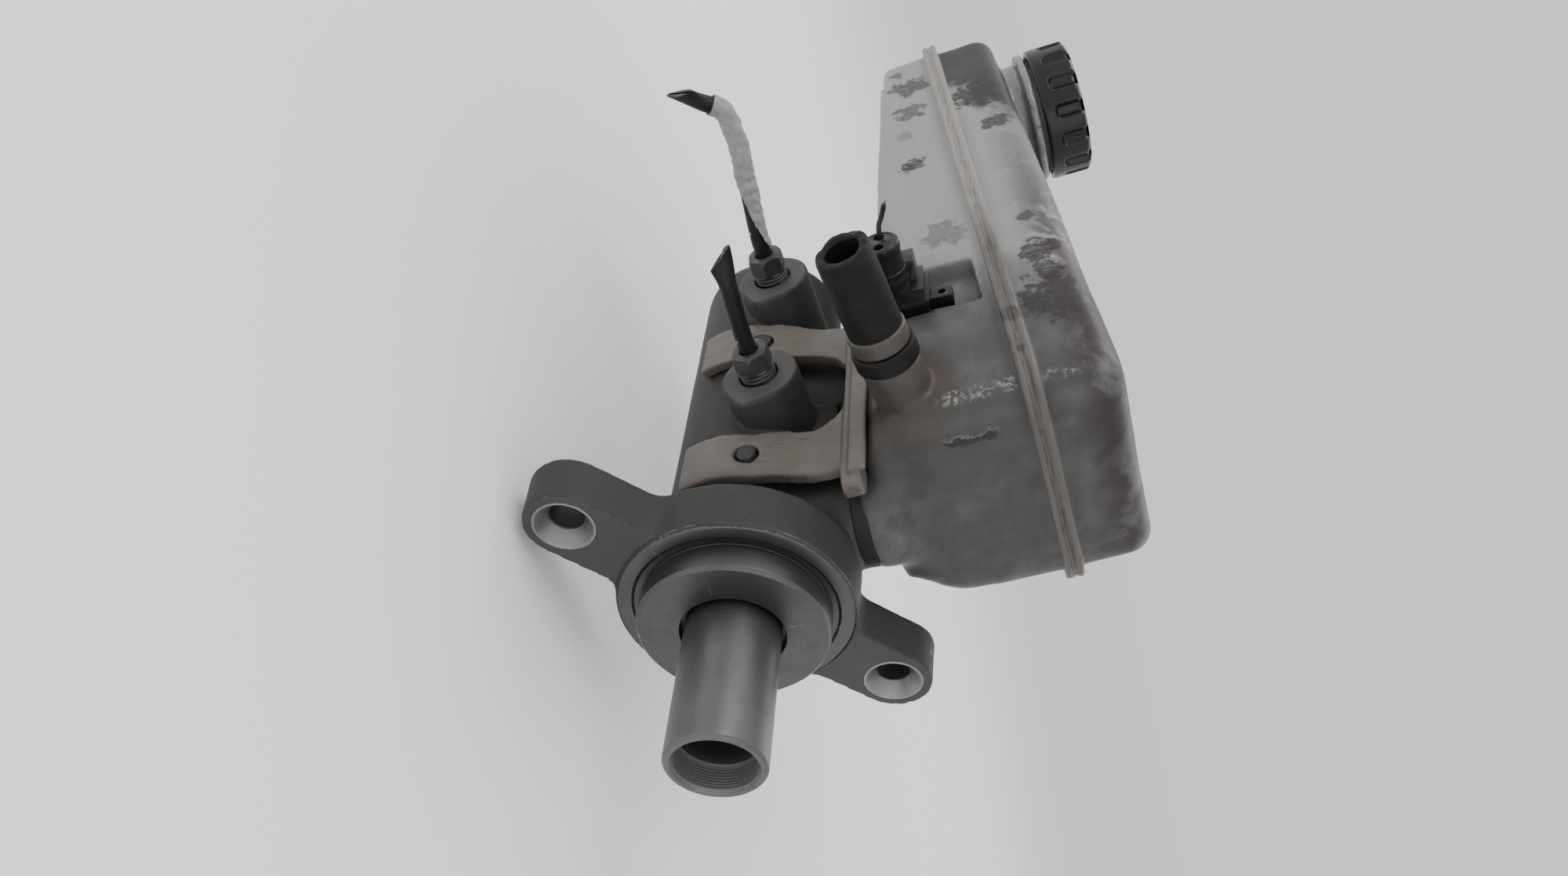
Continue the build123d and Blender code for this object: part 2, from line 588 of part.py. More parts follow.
os.makedirs("parts", exist_ok=True)
for name, shape in parts.items():
    export_step(shape, f"parts/{name}.step")
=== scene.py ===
import json
import math
import random

import bpy
import bmesh
from mathutils import Matrix, Vector, noise


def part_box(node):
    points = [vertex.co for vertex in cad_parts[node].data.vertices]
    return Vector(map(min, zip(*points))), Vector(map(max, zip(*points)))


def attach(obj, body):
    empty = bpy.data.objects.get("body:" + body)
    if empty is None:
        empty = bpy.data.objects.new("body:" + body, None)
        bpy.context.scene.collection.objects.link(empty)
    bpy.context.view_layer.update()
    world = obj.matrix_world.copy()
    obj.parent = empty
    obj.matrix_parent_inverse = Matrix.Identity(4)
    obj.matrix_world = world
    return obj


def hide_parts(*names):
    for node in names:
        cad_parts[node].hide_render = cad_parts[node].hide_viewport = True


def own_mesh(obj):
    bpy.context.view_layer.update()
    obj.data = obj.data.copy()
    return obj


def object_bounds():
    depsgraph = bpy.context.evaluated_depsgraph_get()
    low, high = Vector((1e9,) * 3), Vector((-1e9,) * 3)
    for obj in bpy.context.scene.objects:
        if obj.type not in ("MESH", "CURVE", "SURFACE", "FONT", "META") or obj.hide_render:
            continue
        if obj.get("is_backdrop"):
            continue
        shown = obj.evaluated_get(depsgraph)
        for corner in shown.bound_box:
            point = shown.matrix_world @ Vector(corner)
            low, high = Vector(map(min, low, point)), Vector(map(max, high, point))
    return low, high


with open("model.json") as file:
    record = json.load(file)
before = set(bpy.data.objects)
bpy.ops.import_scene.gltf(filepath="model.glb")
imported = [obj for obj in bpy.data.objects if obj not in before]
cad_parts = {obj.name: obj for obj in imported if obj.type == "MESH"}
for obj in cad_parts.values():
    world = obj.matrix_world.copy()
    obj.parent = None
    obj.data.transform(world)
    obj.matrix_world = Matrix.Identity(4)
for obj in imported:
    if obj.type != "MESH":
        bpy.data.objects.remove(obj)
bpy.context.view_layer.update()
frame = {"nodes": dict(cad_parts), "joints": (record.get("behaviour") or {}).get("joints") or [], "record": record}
noise.seed_set(11)             # noise_vector would start from the clock without this
MM = 0.001
TAU = 2 * math.pi
JOINTS = {j["name"]: j for j in frame["joints"]}
TANK_UP = Vector(JOINTS["float_rise"]["axis"]).normalized()
TANK_ALONG = Vector((0, 1, 0)).cross(TANK_UP).normalized()
TO_TANK = Matrix((TANK_ALONG, Vector((0, 1, 0)), TANK_UP))     # row frame to tank frame


# ---- mesh tools ---------------------------------------------------------------------------
def add_object(name, mesh, body, material, stands_for=()):
    piece = bpy.data.objects.new(name, mesh)
    bpy.context.scene.collection.objects.link(piece)
    piece.data.materials.clear()
    piece.data.materials.append(material)
    if stands_for:
        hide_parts(*stands_for)
    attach(piece, body)
    return piece


def mesh_from(verts, faces, smooth_angle=32.0):
    """A mesh in metres from points in millimetres, welded and with outward normals."""
    mesh = bpy.data.meshes.new("mesh")
    mesh.from_pydata([Vector(v) * MM for v in verts], [], faces)
    return tidy_mesh(mesh, smooth_angle)


def tidy_mesh(mesh, smooth_angle=32.0):
    bm = bmesh.new()
    bm.from_mesh(mesh)
    bmesh.ops.remove_doubles(bm, verts=bm.verts, dist=1e-6)
    bmesh.ops.dissolve_degenerate(bm, edges=bm.edges, dist=1e-7)
    bmesh.ops.recalc_face_normals(bm, faces=bm.faces)
    for face in bm.faces:
        face.smooth = True
    limit = math.radians(smooth_angle)
    for edge in bm.edges:
        edge.smooth = len(edge.link_faces) == 2 and edge.calc_face_angle(0.0) < limit
    bm.to_mesh(mesh)
    bm.free()
    return mesh


def rounded(points, radius=0.25, steps=3):
    """A closed outline with each corner rounded. A point may carry its own radius."""
    out = []
    for i, point in enumerate(points):
        here = Vector(point[:2])
        before = Vector(points[i - 1][:2]) - here
        after = Vector(points[(i + 1) % len(points)][:2]) - here
        cut = point[2] if len(point) > 2 else radius
        cut_a, cut_b = min(cut, before.length * 0.45), min(cut, after.length * 0.45)
        if min(cut_a, cut_b) < 0.01:
            out.append(here)
            continue
        start, end = here + before.normalized() * cut_a, here + after.normalized() * cut_b
        for k in range(steps + 1):
            t = k / steps
            out.append(start * (1 - t) ** 2 + here * 2 * t * (1 - t) + end * t ** 2)
    return out


def unit(value):
    """The value, kept between 0 and 1."""
    return max(0.0, min(1.0, value))


def ease(t):
    """A soft start and a soft stop between 0 and 1."""
    return t * t * (3 - 2 * t)


def grid(rows, columns, rows_close=False, columns_close=True):
    """Four-cornered faces between points that were laid down one row after another."""
    faces = []
    for i in range(rows if rows_close else rows - 1):
        a, b = i * columns, (i + 1) % rows * columns
        for j in range(columns if columns_close else columns - 1):
            k = (j + 1) % columns
            faces.append((a + j, a + k, b + k, b + j))
    return faces


def joined(shells):
    """Several pairs of points and faces as one pair."""
    verts, faces = [], []
    for more, more_faces in shells:
        faces += [tuple(i + len(verts) for i in face) for face in more_faces]
        verts += more
    return verts, faces


def lathe(outline, segments, place, shape=None):
    """Turns a closed outline of (height, radius) about the local Z axis; place is a 4x4 matrix."""
    verts = []
    for i in range(segments):
        angle = TAU * i / segments
        for height, radius in outline:
            if shape:
                height, radius = shape(angle, height, radius)
            verts.append(place @ Vector((radius * math.cos(angle), radius * math.sin(angle), height)))
    return verts, grid(segments, len(outline), True)


def axis_frame(origin, axis, roll=None):
    """4x4 matrix whose Z is the axis and whose origin is the point, in millimetres."""
    z = Vector(axis).normalized()
    x = Vector(roll) if roll else z.orthogonal()
    x = (x - z * x.dot(z)).normalized()
    y = z.cross(x)
    return Matrix(((x[0], y[0], z[0], origin[0]), (x[1], y[1], z[1], origin[1]),
                   (x[2], y[2], z[2], origin[2]), (0, 0, 0, 1)))


def evaluated(piece):
    """The piece's mesh with its modifiers applied."""
    graph = bpy.context.evaluated_depsgraph_get()
    return bpy.data.meshes.new_from_object(piece.evaluated_get(graph))


def copy_of(node):
    """A loose copy of a CAD node's mesh, welded along its split edges."""
    mesh = frame["nodes"][node].data.copy()
    piece = bpy.data.objects.new("copy", mesh)
    bpy.context.scene.collection.objects.link(piece)
    bm = bmesh.new()
    bm.from_mesh(mesh)
    bmesh.ops.remove_doubles(bm, verts=bm.verts, dist=2e-6)
    bm.to_mesh(mesh)
    bm.free()
    return piece


def moulded(node, voxel, smoothing, added=None):
    """A copy of a node with every edge and corner softened, as cast or moulded."""
    piece = copy_of(node)
    if added:
        bm = bmesh.new()
        bm.from_mesh(piece.data)
        verts = [bm.verts.new(v * MM) for v in added[0]]
        for face in added[1]:
            bm.faces.new([verts[i] for i in face])
        bm.to_mesh(piece.data)
        bm.free()
    remesh = piece.modifiers.new("remesh", "REMESH")
    remesh.mode, remesh.voxel_size = "VOXEL", voxel * MM
    soft = piece.modifiers.new("smooth", "SMOOTH")
    soft.factor, soft.iterations = 0.5, smoothing
    mesh = evaluated(piece)
    bpy.data.objects.remove(piece)
    for face in mesh.polygons:
        face.use_smooth = True
    return mesh


def melt(mesh, chosen, rounds):
    """Smooths only the part of a mesh where chosen says so."""
    bm = bmesh.new()
    bm.from_mesh(mesh)
    verts = [v for v in bm.verts if chosen(v.co / MM)]
    for _ in range(rounds):
        bmesh.ops.smooth_vert(bm, verts=verts, factor=0.5, use_axis_x=True, use_axis_y=True, use_axis_z=True)
    bm.to_mesh(mesh)
    bm.free()


def edged(node, width, segments, angle):
    """A copy of a node with its flat faces merged and its sharp edges bevelled."""
    piece = copy_of(node)
    bm = bmesh.new()
    bm.from_mesh(piece.data)
    bmesh.ops.dissolve_limit(bm, angle_limit=math.radians(0.8), verts=bm.verts, edges=bm.edges)
    bm.to_mesh(piece.data)
    bm.free()
    bevel = piece.modifiers.new("bevel", "BEVEL")
    bevel.width, bevel.segments = width * MM, segments
    bevel.limit_method, bevel.angle_limit = "ANGLE", math.radians(angle)
    bevel.use_clamp_overlap = True
    mesh = evaluated(piece)
    bpy.data.objects.remove(piece)
    return tidy_mesh(mesh, 40.0)


def move_points(mesh, shift):
    """Moves each point of a mesh by shift(point in millimetres), in millimetres."""
    for vert in mesh.vertices:
        vert.co += shift(vert.co / MM) * MM


def wavy(size, depth, seed=0.0):
    """A smooth random shift field for move_points."""
    def shift(point):
        return noise.noise_vector(point / size + Vector((seed, seed, seed))) * depth
    return shift


# ---- material tools -----------------------------------------------------------------------
def in_metres(point):
    return tuple(c * MM for c in point)


class Paint:
    """Builds one procedural material. Sockets are passed between its small methods."""

    def __init__(self, name):
        self.material = bpy.data.materials.new(name)
        self.material.use_nodes = True
        self.tree = self.material.node_tree
        self.shader = self.tree.nodes["Principled BSDF"]
        self.place = self.tree.nodes.new("ShaderNodeTexCoord").outputs["Object"]
        self.colour = self.normal = None

    def put(self, value, socket):
        if isinstance(value, bpy.types.NodeSocket):
            self.tree.links.new(value, socket)
        elif isinstance(value, tuple) and len(value) == 3 and socket.type == "RGBA":
            socket.default_value = (*value, 1.0)
        else:
            socket.default_value = value

    def math(self, kind, a, b=0.0, c=0.0):
        node = self.tree.nodes.new("ShaderNodeMath")
        node.operation = kind
        for value, socket in zip((a, b, c), node.inputs):
            self.put(value, socket)
        return node.outputs[0]

    def times(self, a, b):
        return self.math("MULTIPLY", a, b)

    def plus(self, a, b):
        return self.math("ADD", a, b)

    def minus(self, a, b):
        return self.math("SUBTRACT", a, b)

    def apart(self, a, b):
        """How far apart two values are."""
        return self.math("ABSOLUTE", self.minus(a, b))

    def scaled(self, value, gain, offset):
        return self.math("MULTIPLY_ADD", value, gain, offset)

    def vector(self, kind, a, b):
        node = self.tree.nodes.new("ShaderNodeVectorMath")
        node.operation = kind
        self.put(a, node.inputs[0])
        self.put(b, node.inputs[1])
        return node.outputs["Value"] if kind in ("LENGTH", "DISTANCE", "DOT_PRODUCT") else node.outputs[0]

    def stretched(self, *scale):
        """The place for a texture that is drawn out where its scale is small."""
        return self.vector("MULTIPLY", self.place, scale)

    def noise(self, size, detail=3.0, rough=0.55, place=None, warp=0.0):
        """Noise from 0 to 1 whose features are about size millimetres."""
        node = self.tree.nodes.new("ShaderNodeTexNoise")
        self.put(place or self.place, node.inputs["Vector"])
        for key, value in (("Scale", 1.0 / (size * MM)), ("Detail", detail), ("Roughness", rough),
                           ("Distortion", warp)):
            node.inputs[key].default_value = value
        return node.outputs["Fac"]

    def cells(self, size, randomness=1.0, place=None):
        node = self.tree.nodes.new("ShaderNodeTexVoronoi")
        self.put(place or self.place, node.inputs["Vector"])
        node.inputs["Scale"].default_value = 1.0 / (size * MM)
        node.inputs["Randomness"].default_value = randomness
        return node.outputs["Distance"]

    def step(self, value, low, high, to_low=0.0, to_high=1.0):
        """Smooth change from to_low to to_high as value goes from low to high."""
        node = self.tree.nodes.new("ShaderNodeMapRange")
        node.interpolation_type = "SMOOTHSTEP"
        for socket, number in zip(node.inputs, (value, low, high, to_low, to_high)):
            self.put(number, socket)
        return node.outputs[0]

    def mix(self, factor, a, b):
        node = self.tree.nodes.new("ShaderNodeMix")
        node.data_type = "RGBA"
        self.put(factor, node.inputs["Factor"])
        self.put(a, node.inputs[6])
        self.put(b, node.inputs[7])
        return node.outputs[2]

    def layer(self, tone, mask, strength=None):
        """Puts a tone over the colour so far, where the mask says."""
        factor = mask if strength is None else self.times(mask, strength)
        self.colour = self.mix(factor, self.colour, tone)

    def relief(self, height, depth, strength):
        """Adds a bump to the surface so far. depth is the height of the relief in millimetres."""
        node = self.tree.nodes.new("ShaderNodeBump")
        node.inputs["Distance"].default_value = depth * MM
        node.inputs["Strength"].default_value = strength
        self.put(height, node.inputs["Height"])
        if self.normal:
            self.put(self.normal, node.inputs["Normal"])
        self.normal = node.outputs[0]

    def axis_value(self, axis, origin=(0.0, 0.0, 0.0)):
        """Distance in millimetres along an axis from an origin given in millimetres."""
        local = self.vector("SUBTRACT", self.place, in_metres(origin))
        return self.times(self.vector("DOT_PRODUCT", local, tuple(axis)), 1.0 / MM)

    def radius(self, axis, origin):
        """Distance in millimetres from a line."""
        local = self.vector("SUBTRACT", self.place, in_metres(origin))
        across = self.vector("CROSS_PRODUCT", local, tuple(axis))
        return self.times(self.vector("LENGTH", across, (0.0, 0.0, 0.0)), 1.0 / MM)

    def blot(self, centre, size, ragged=0.5, grain=6.0):
        """A ragged patch, 1 inside and 0 outside, round a point in millimetres."""
        far = self.times(self.vector("DISTANCE", self.place, in_metres(centre)), 1.0 / (size * MM))
        edge = self.scaled(self.noise(grain, 5.0, 0.65), 2.0 * ragged, -ragged)
        return self.step(self.plus(far, edge), 1.05, 0.75)

    def facing(self, direction):
        """How much the surface faces a fixed direction of the object, from -1 to 1."""
        normal = self.tree.nodes.new("ShaderNodeTexCoord").outputs["Normal"]
        return self.vector("DOT_PRODUCT", normal, tuple(direction))

    def edges(self, low, high, most=1.0):
        """A mask of sharp edges, or of hollows where low is above high."""
        pointy = self.tree.nodes.new("ShaderNodeNewGeometry").outputs["Pointiness"]
        return self.step(pointy, low, high, 0.0, most)

    def finish(self, rough, metallic=0.0, **rest):
        self.put(self.colour, self.shader.inputs["Base Color"])
        self.put(rough, self.shader.inputs["Roughness"])
        self.put(metallic, self.shader.inputs["Metallic"])
        self.put(self.normal, self.shader.inputs["Normal"])
        for key, value in rest.items():
            self.put(value, self.shader.inputs[key.replace("_", " ").title().replace("Ior", "IOR")])
        return self.material


def grey(value, warm=0.0):
    return (value * (1 + warm), value, value * (1 - warm))


# ---- materials ----------------------------------------------------------------------------
def cast_aluminium():
    p = Paint("cast_aluminium")
    patches = p.noise(14.0, 4.0, 0.6)
    grain = p.noise(0.55, 3.0, 0.6)
    pits = p.step(p.cells(1.9), 0.16, 0.06)
    pits = p.times(pits, p.step(p.noise(7.0), 0.5, 0.62))
    p.colour = p.mix(patches, grey(0.024), grey(0.044, 0.01))
    p.layer(grey(0.085, 0.02), grain, 0.30)
    front = p.times(p.step(p.facing((-1, 0, 0)), 0.75, 0.95), 0.55)
    side = p.times(p.times(p.step(p.facing((0, 1, 0)), 0.85, 0.97),
                  p.step(p.axis_value((0, 1, 0)), 27.2, 27.8)), 0.75)
    side = p.times(side, p.step(p.axis_value((1, 0, 0)), 14.0, 15.0))
    p.layer(p.mix(patches, grey(0.062, 0.02), grey(0.105, 0.03)), p.math("MAXIMUM", front, side))
    worn = p.times(p.edges(0.53, 0.60), p.step(p.noise(2.5, 4.0), 0.35, 0.6))
    p.layer(grey(0.30, 0.01), worn, 0.5)
    p.layer(grey(0.02), pits, 0.7)
    p.relief(p.minus(grain, p.times(pits, 2.0)), 0.10, 0.8)
    p.relief(p.noise(4.0, 3.0), 0.25, 0.5)
    rough = p.scaled(grain, 0.2, 0.50)
    return p.finish(rough, 0.35, specular_ior_level=0.3)


def turned_aluminium(name, tone, metallic=0.92):
    """Turned metal: fine rings about the bore's axis, with dull patches and small pits."""
    p = Paint(name)
    along, across = p.axis_value((1, 0, 0)), p.radius((1, 0, 0), (0, 0, 0))
    spiral = p.plus(along, across)
    rings = p.math("SINE", p.times(spiral, TAU / 0.16))
    broad = p.tree.nodes.new("ShaderNodeTexNoise")
    broad.noise_dimensions = "1D"
    p.put(spiral, broad.inputs["W"])
    broad.inputs["Scale"].default_value, broad.inputs["Detail"].default_value = 3.0, 6.0
    stains = p.noise(9.0, 5.0, 0.65)
    specks = p.times(p.step(p.cells(3.2), 0.075, 0.04), p.step(p.noise(6.0), 0.52, 0.6))
    p.colour = p.mix(broad.outputs["Fac"], grey(tone * 0.80), grey(tone * 1.15, 0.01))
    p.layer(grey(tone * 0.84, 0.03), p.step(stains, 0.45, 0.75))
    p.layer(grey(0.03), specks)
    worn = p.times(p.edges(0.54, 0.62), p.step(p.noise(1.6, 4.0), 0.40, 0.55))
    p.layer(grey(tone * 2.6), worn)
    p.relief(rings, 0.004, 0.6)
    p.relief(p.noise(0.7, 4.0), 0.02, 0.5)
    rough = p.scaled(stains, 0.22, 0.30)
    return p.finish(rough, metallic)


def tank_plastic():
    """Milky polypropylene: pale at the far end and darker at the near end."""
    p = Paint("tank_plastic")
    along = p.axis_value(TANK_ALONG)
    height = p.axis_value(TANK_UP)
    side = p.axis_value((0, 1, 0))
    cloud = p.noise(26.0, 5.0, 0.6)
    streak = p.noise(10.0, 5.0, 0.7, p.stretched(0.35, 1.0, 2.2))
    ragged = p.scaled(cloud, 44.0, -22.0)
    # the near end is darker, a little further along in the lower half
    reach = p.plus(p.plus(along, ragged), p.scaled(height, 0.4, -30.0))
    far_blend = p.step(reach, 50.0, 84.0)
    pale = p.mix(streak, (0.225, 0.226, 0.225), (0.295, 0.295, 0.292))
    dark = p.mix(streak, (0.036, 0.037, 0.037), (0.072, 0.072, 0.070))
    dark = p.mix(p.step(p.noise(15.0, 4.0), 0.42, 0.76), dark, (0.100, 0.100, 0.098))
    p.colour = p.mix(far_blend, dark, pale)
    # dark grime smudges on the near wall and beside the roof's edge
    for centre, size, strength in TANK_SMUDGES:
        mask = p.times(p.blot(centre, size, 1.5, 3.6), strength)
        scratch = p.step(p.noise(1.1, 4.0, 0.6, p.stretched(1.0, 1.0, 0.5)), 0.30, 0.58, 0.62, 1.0)
        p.layer((0.011, 0.010, 0.010), mask, scratch)
    # the far end of the upper half is darker, from the weld to the roof
    far_top_dark = p.plus(along, p.scaled(p.noise(11.0, 5.0, 0.65), 60.0, -30.0))
    far_top_dark = p.plus(far_top_dark, p.times(p.minus(height, TANK_SEAM), 2.0))
    far_top_dark = p.times(p.step(far_top_dark, 176.0, 192.0), p.step(height, TANK_SEAM, TANK_SEAM + 3.0, 0.0, 0.96))
    p.layer(p.mix(streak, (0.005, 0.005, 0.005), (0.018, 0.017, 0.017)), far_top_dark)
    # purple-brown stain creeping along the roof
    roof = p.step(height, TANK_TOP - 15.0, TANK_TOP - 5.0)
    purple = p.times(roof, p.step(p.noise(13.0, 5.0, 0.62, warp=0.6), 0.38, 0.54))
    purple = p.times(purple, p.step(along, 185.0, 60.0, 0.25, 1.0))
    p.layer((0.026, 0.013, 0.016), purple, 0.80)
    # brown tint round the hose nipple
    brown = p.blot(NIPPLE_ROOT, 17.0, 0.35, 7.0)
    p.layer((0.052, 0.040, 0.034), brown, 0.70)
    red = p.blot(Vector(NIPPLE_ROOT) + Vector((2.0, -2.0, 6.0)), 7.0, 0.5, 4.0)
    p.layer((0.060, 0.028, 0.028), red, 0.5)
    # darker in patches towards the bottom, and painted shade in the hollows
    low = p.times(p.step(height, 58.0, 44.0), p.step(p.noise(8.0, 4.0), 0.35, 0.65))
    p.layer((0.024, 0.022, 0.020), low, 0.5)
    # painted shade: the hollows are darkened
    p.layer((0.05, 0.047, 0.043), p.edges(0.50, 0.44, 0.4))
    # a broken painted highlight down the upright corner, and a peeled scratch on the rear wall
    corner = p.step(p.facing((-0.38, 0.92, 0.04)), 0.965, 0.995)
    glint_breaks = p.times(p.step(p.noise(1.1, 5.0, 0.75), 0.46, 0.62), p.step(p.noise(9.0, 2.0), 0.40, 0.60))
    upright = p.times(p.step(along, 40.0, 30.0), p.step(height, 56.0, 62.0))
    # painted highlight: pale glints where the corner turns towards the light
    p.layer((0.34, 0.34, 0.335), p.times(corner, glint_breaks), upright)
    drift = p.scaled(p.noise(4.5, 4.0, 0.7), 9.0, -4.5)
    slant = p.plus(p.minus(side, 20.0), drift)
    reach = p.step(p.apart(height, 63.5), 7.5, 5.0)
    reach = p.times(reach, p.step(p.facing((-1, 0, 0)), 0.4, 0.8))
    peel = p.times(reach, p.step(p.math("ABSOLUTE", slant), 1.3, 0.5))
    lip = p.times(reach, p.step(p.apart(slant, 1.3), 0.6, 0.2))
    p.layer((0.016, 0.015, 0.014), peel, 0.8)
    p.layer((0.16, 0.16, 0.158), lip, 0.6)
    fine = p.noise(0.8, 3.0, 0.6)
    p.relief(fine, 0.03, 0.5)
    p.relief(p.minus(lip, peel), 0.35, 0.6)
    p.relief(p.noise(7.0, 3.0, 0.5), 0.5, 0.35)
    rough = p.plus(p.scaled(cloud, 0.22, 0.27), p.times(fine, 0.08))
    return p.finish(rough, subsurface_weight=0.15, subsurface_scale=0.003, coat_weight=0.04,
                    coat_roughness=0.22, specular_ior_level=0.28)


def weld_plastic():
    p = Paint("weld_plastic")
    height = p.axis_value(TANK_UP)
    along = p.axis_value(TANK_ALONG)
    fibres = p.noise(1.3, 5.0, 0.7, p.stretched(0.12, 0.12, 1.6))
    near = p.step(p.plus(along, p.scaled(p.noise(18.0), 40.0, -20.0)), 62.0, 112.0)
    pale = p.mix(fibres, (0.17, 0.155, 0.143), (0.31, 0.295, 0.278))
    dull = p.mix(fibres, (0.052, 0.046, 0.041), (0.125, 0.113, 0.103))
    p.colour = p.mix(near, dull, pale)
    middle = p.apart(height, TANK_SEAM)
    lines = p.noise(0.9, 5.0, 0.7, p.stretched(0.10, 0.10, 2.0))
    groove = p.times(p.step(middle, 2.0, 0.6), p.step(lines, 0.50, 0.66))
    p.layer((0.045, 0.038, 0.032), groove, 0.65)
    for place, size in ((42.0, 3.4), (4.0, 2.2), (28.0, 1.6)):
        chip = p.blot(tank_place(place, RIM_HIGH.y, TANK_SEAM), size, 0.7, 2.0)
        p.layer((0.030, 0.026, 0.024), chip, 0.75)
    p.relief(fibres, 0.12, 0.7)
    return p.finish(0.5, subsurface_weight=0.15, subsurface_scale=0.002)


def neck_plastic():
    """The filler neck is greyer and glossier than the tank."""
    p = Paint("neck_plastic")
    cloud = p.noise(6.0, 5.0, 0.6)
    p.colour = p.mix(cloud, (0.105, 0.105, 0.105), (0.245, 0.244, 0.241))
    p.layer((0.03, 0.028, 0.026), p.step(p.noise(2.4, 5.0, 0.7), 0.55, 0.72))
    p.relief(p.noise(1.1, 4.0), 0.05, 0.6)
    return p.finish(p.scaled(cloud, 0.25, 0.22), coat_weight=0.25, coat_roughness=0.15)


def nylon(name="nylon", tone=1.0, grooved=True):
    """Natural nylon with a tan tint, mould grooves, ground-in dirt and painted shade in the hollows."""
    p = Paint(name)
    cloud = p.noise(8.0, 5.0, 0.6)
    dark, light = (0.070, 0.056, 0.047), (0.135, 0.117, 0.103)
    p.colour = p.mix(cloud, tuple(c * tone for c in dark), tuple(c * tone for c in light))
    lines = p.noise(1.5, 4.0, 0.7, p.stretched(1.9, 0.25, 0.16))
    dirt = p.step(p.noise(3.0, 5.0, 0.7, p.stretched(1.6, 0.5, 0.4)), 0.52, 0.72)
    p.layer((0.030, 0.022, 0.018), dirt, 0.60)
    # painted shade: the hollows are darkened
    p.layer((0.05, 0.038, 0.03), p.edges(0.49, 0.43, 0.5))
    p.layer((0.27, 0.24, 0.215), p.edges(0.54, 0.62), 0.45)
    p.relief(p.noise(0.6, 3.0), 0.03, 0.5)
    if grooved:
        p.relief(lines, 0.35, 0.45)
    return p.finish(p.scaled(cloud, 0.2, 0.33), subsurface_weight=0.2, subsurface_scale=0.002)


def rubber(name="rubber", tone=0.006, rough=0.55):
    p = Paint(name)
    dust = p.noise(5.0, 5.0, 0.6)
    fine = p.noise(0.35, 3.0, 0.6)
    p.colour = p.mix(p.step(dust, 0.45, 0.8), grey(tone), grey(tone * 2.6, 0.03))
    p.layer(grey(tone * 5.0), p.edges(0.53, 0.60), 0.4)
    p.relief(fine, 0.05, 0.6)
    p.relief(p.noise(2.5, 4.0), 0.12, 0.4)
    return p.finish(p.scaled(dust, 0.25, rough - 0.12), specular_ior_level=0.22)


def black_plastic(name="black_plastic", tone=0.008, rough=0.30):
    p = Paint(name)
    cloud = p.noise(6.0, 4.0, 0.6)
    scuffs = p.step(p.noise(1.6, 5.0, 0.75, p.stretched(0.5, 1.0, 1.6)), 0.62, 0.74)
    p.colour = p.mix(cloud, grey(tone), grey(tone * 2.0))
    p.layer(grey(0.05, 0.02), scuffs, 0.25)
    p.layer(grey(0.07), p.edges(0.53, 0.62), 0.25)
    p.relief(p.noise(0.5, 3.0), 0.02, 0.5)
    rough_map = p.plus(p.scaled(cloud, 0.18, rough - 0.08), p.times(scuffs, 0.25))
    return p.finish(rough_map, specular_ior_level=0.35)


def nut_steel():
    p = Paint("nut_steel")
    cloud = p.noise(3.5, 5.0, 0.6)
    p.colour = p.mix(cloud, grey(0.030), grey(0.075, 0.01))
    p.layer(grey(0.30), p.edges(0.53, 0.60), 0.45)
    rust = p.step(p.noise(2.0, 5.0, 0.7), 0.60, 0.74)
    p.layer((0.045, 0.030, 0.022), rust, 0.4)
    p.relief(p.noise(0.5, 4.0), 0.04, 0.6)
    return p.finish(p.scaled(cloud, 0.25, 0.36), 0.6)


def coated_pipe():
    p = Paint("coated_pipe")
    cloud = p.noise(4.0, 5.0, 0.6)
    chips = p.step(p.noise(1.1, 5.0, 0.75, p.stretched(1.5, 0.4, 1.5)), 0.66, 0.74)
    p.colour = p.mix(cloud, grey(0.004), grey(0.012, 0.02))
    p.layer(grey(0.12, 0.03), chips, 0.6)
    p.layer(grey(0.38), p.edges(0.55, 0.64), 0.8)
    p.relief(p.noise(0.8, 4.0), 0.05, 0.5)
    return p.finish(p.scaled(cloud, 0.3, 0.34), 0.1, specular_ior_level=0.3)


def paper():
    p = Paint("paper_tape")
    creases = p.cells(6.5, 1.0, p.stretched(1.0, 0.6, 1.4))
    cloud = p.noise(5.0, 5.0, 0.6)
    p.colour = p.mix(cloud, (0.20, 0.20, 0.196), (0.31, 0.31, 0.303))
    dirt = p.step(p.noise(2.6, 5.0, 0.7), 0.57, 0.75)
    p.layer((0.14, 0.13, 0.12), dirt, 0.35)
    p.relief(creases, 0.5, 0.5)
    p.relief(p.noise(0.4, 3.0), 0.03, 0.5)
    return p.finish(0.6, subsurface_weight=0.1, subsurface_scale=0.001)


def plain_metal(name, low, high, rough, metallic=0.95, warm=0.0):
    p = Paint(name)
    cloud = p.noise(2.5, 5.0, 0.6)
    p.colour = p.mix(cloud, grey(low, warm), grey(high, warm))
    p.relief(p.noise(0.3, 3.0), 0.02, 0.5)
    return p.finish(p.scaled(cloud, 0.2, rough), metallic)


# ---- places read from the frame -----------------------------------------------------------
def tank_points(node):
    return [TO_TANK @ v.co / MM for v in frame["nodes"][node].data.vertices]


def tank_place(along, side, height):
    """A point of the row frame, in millimetres, from a place in the tank's own frame."""
    return TO_TANK.transposed() @ Vector((along, side, height))


def span(node):
    low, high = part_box(node)
    return low / MM, high / MM


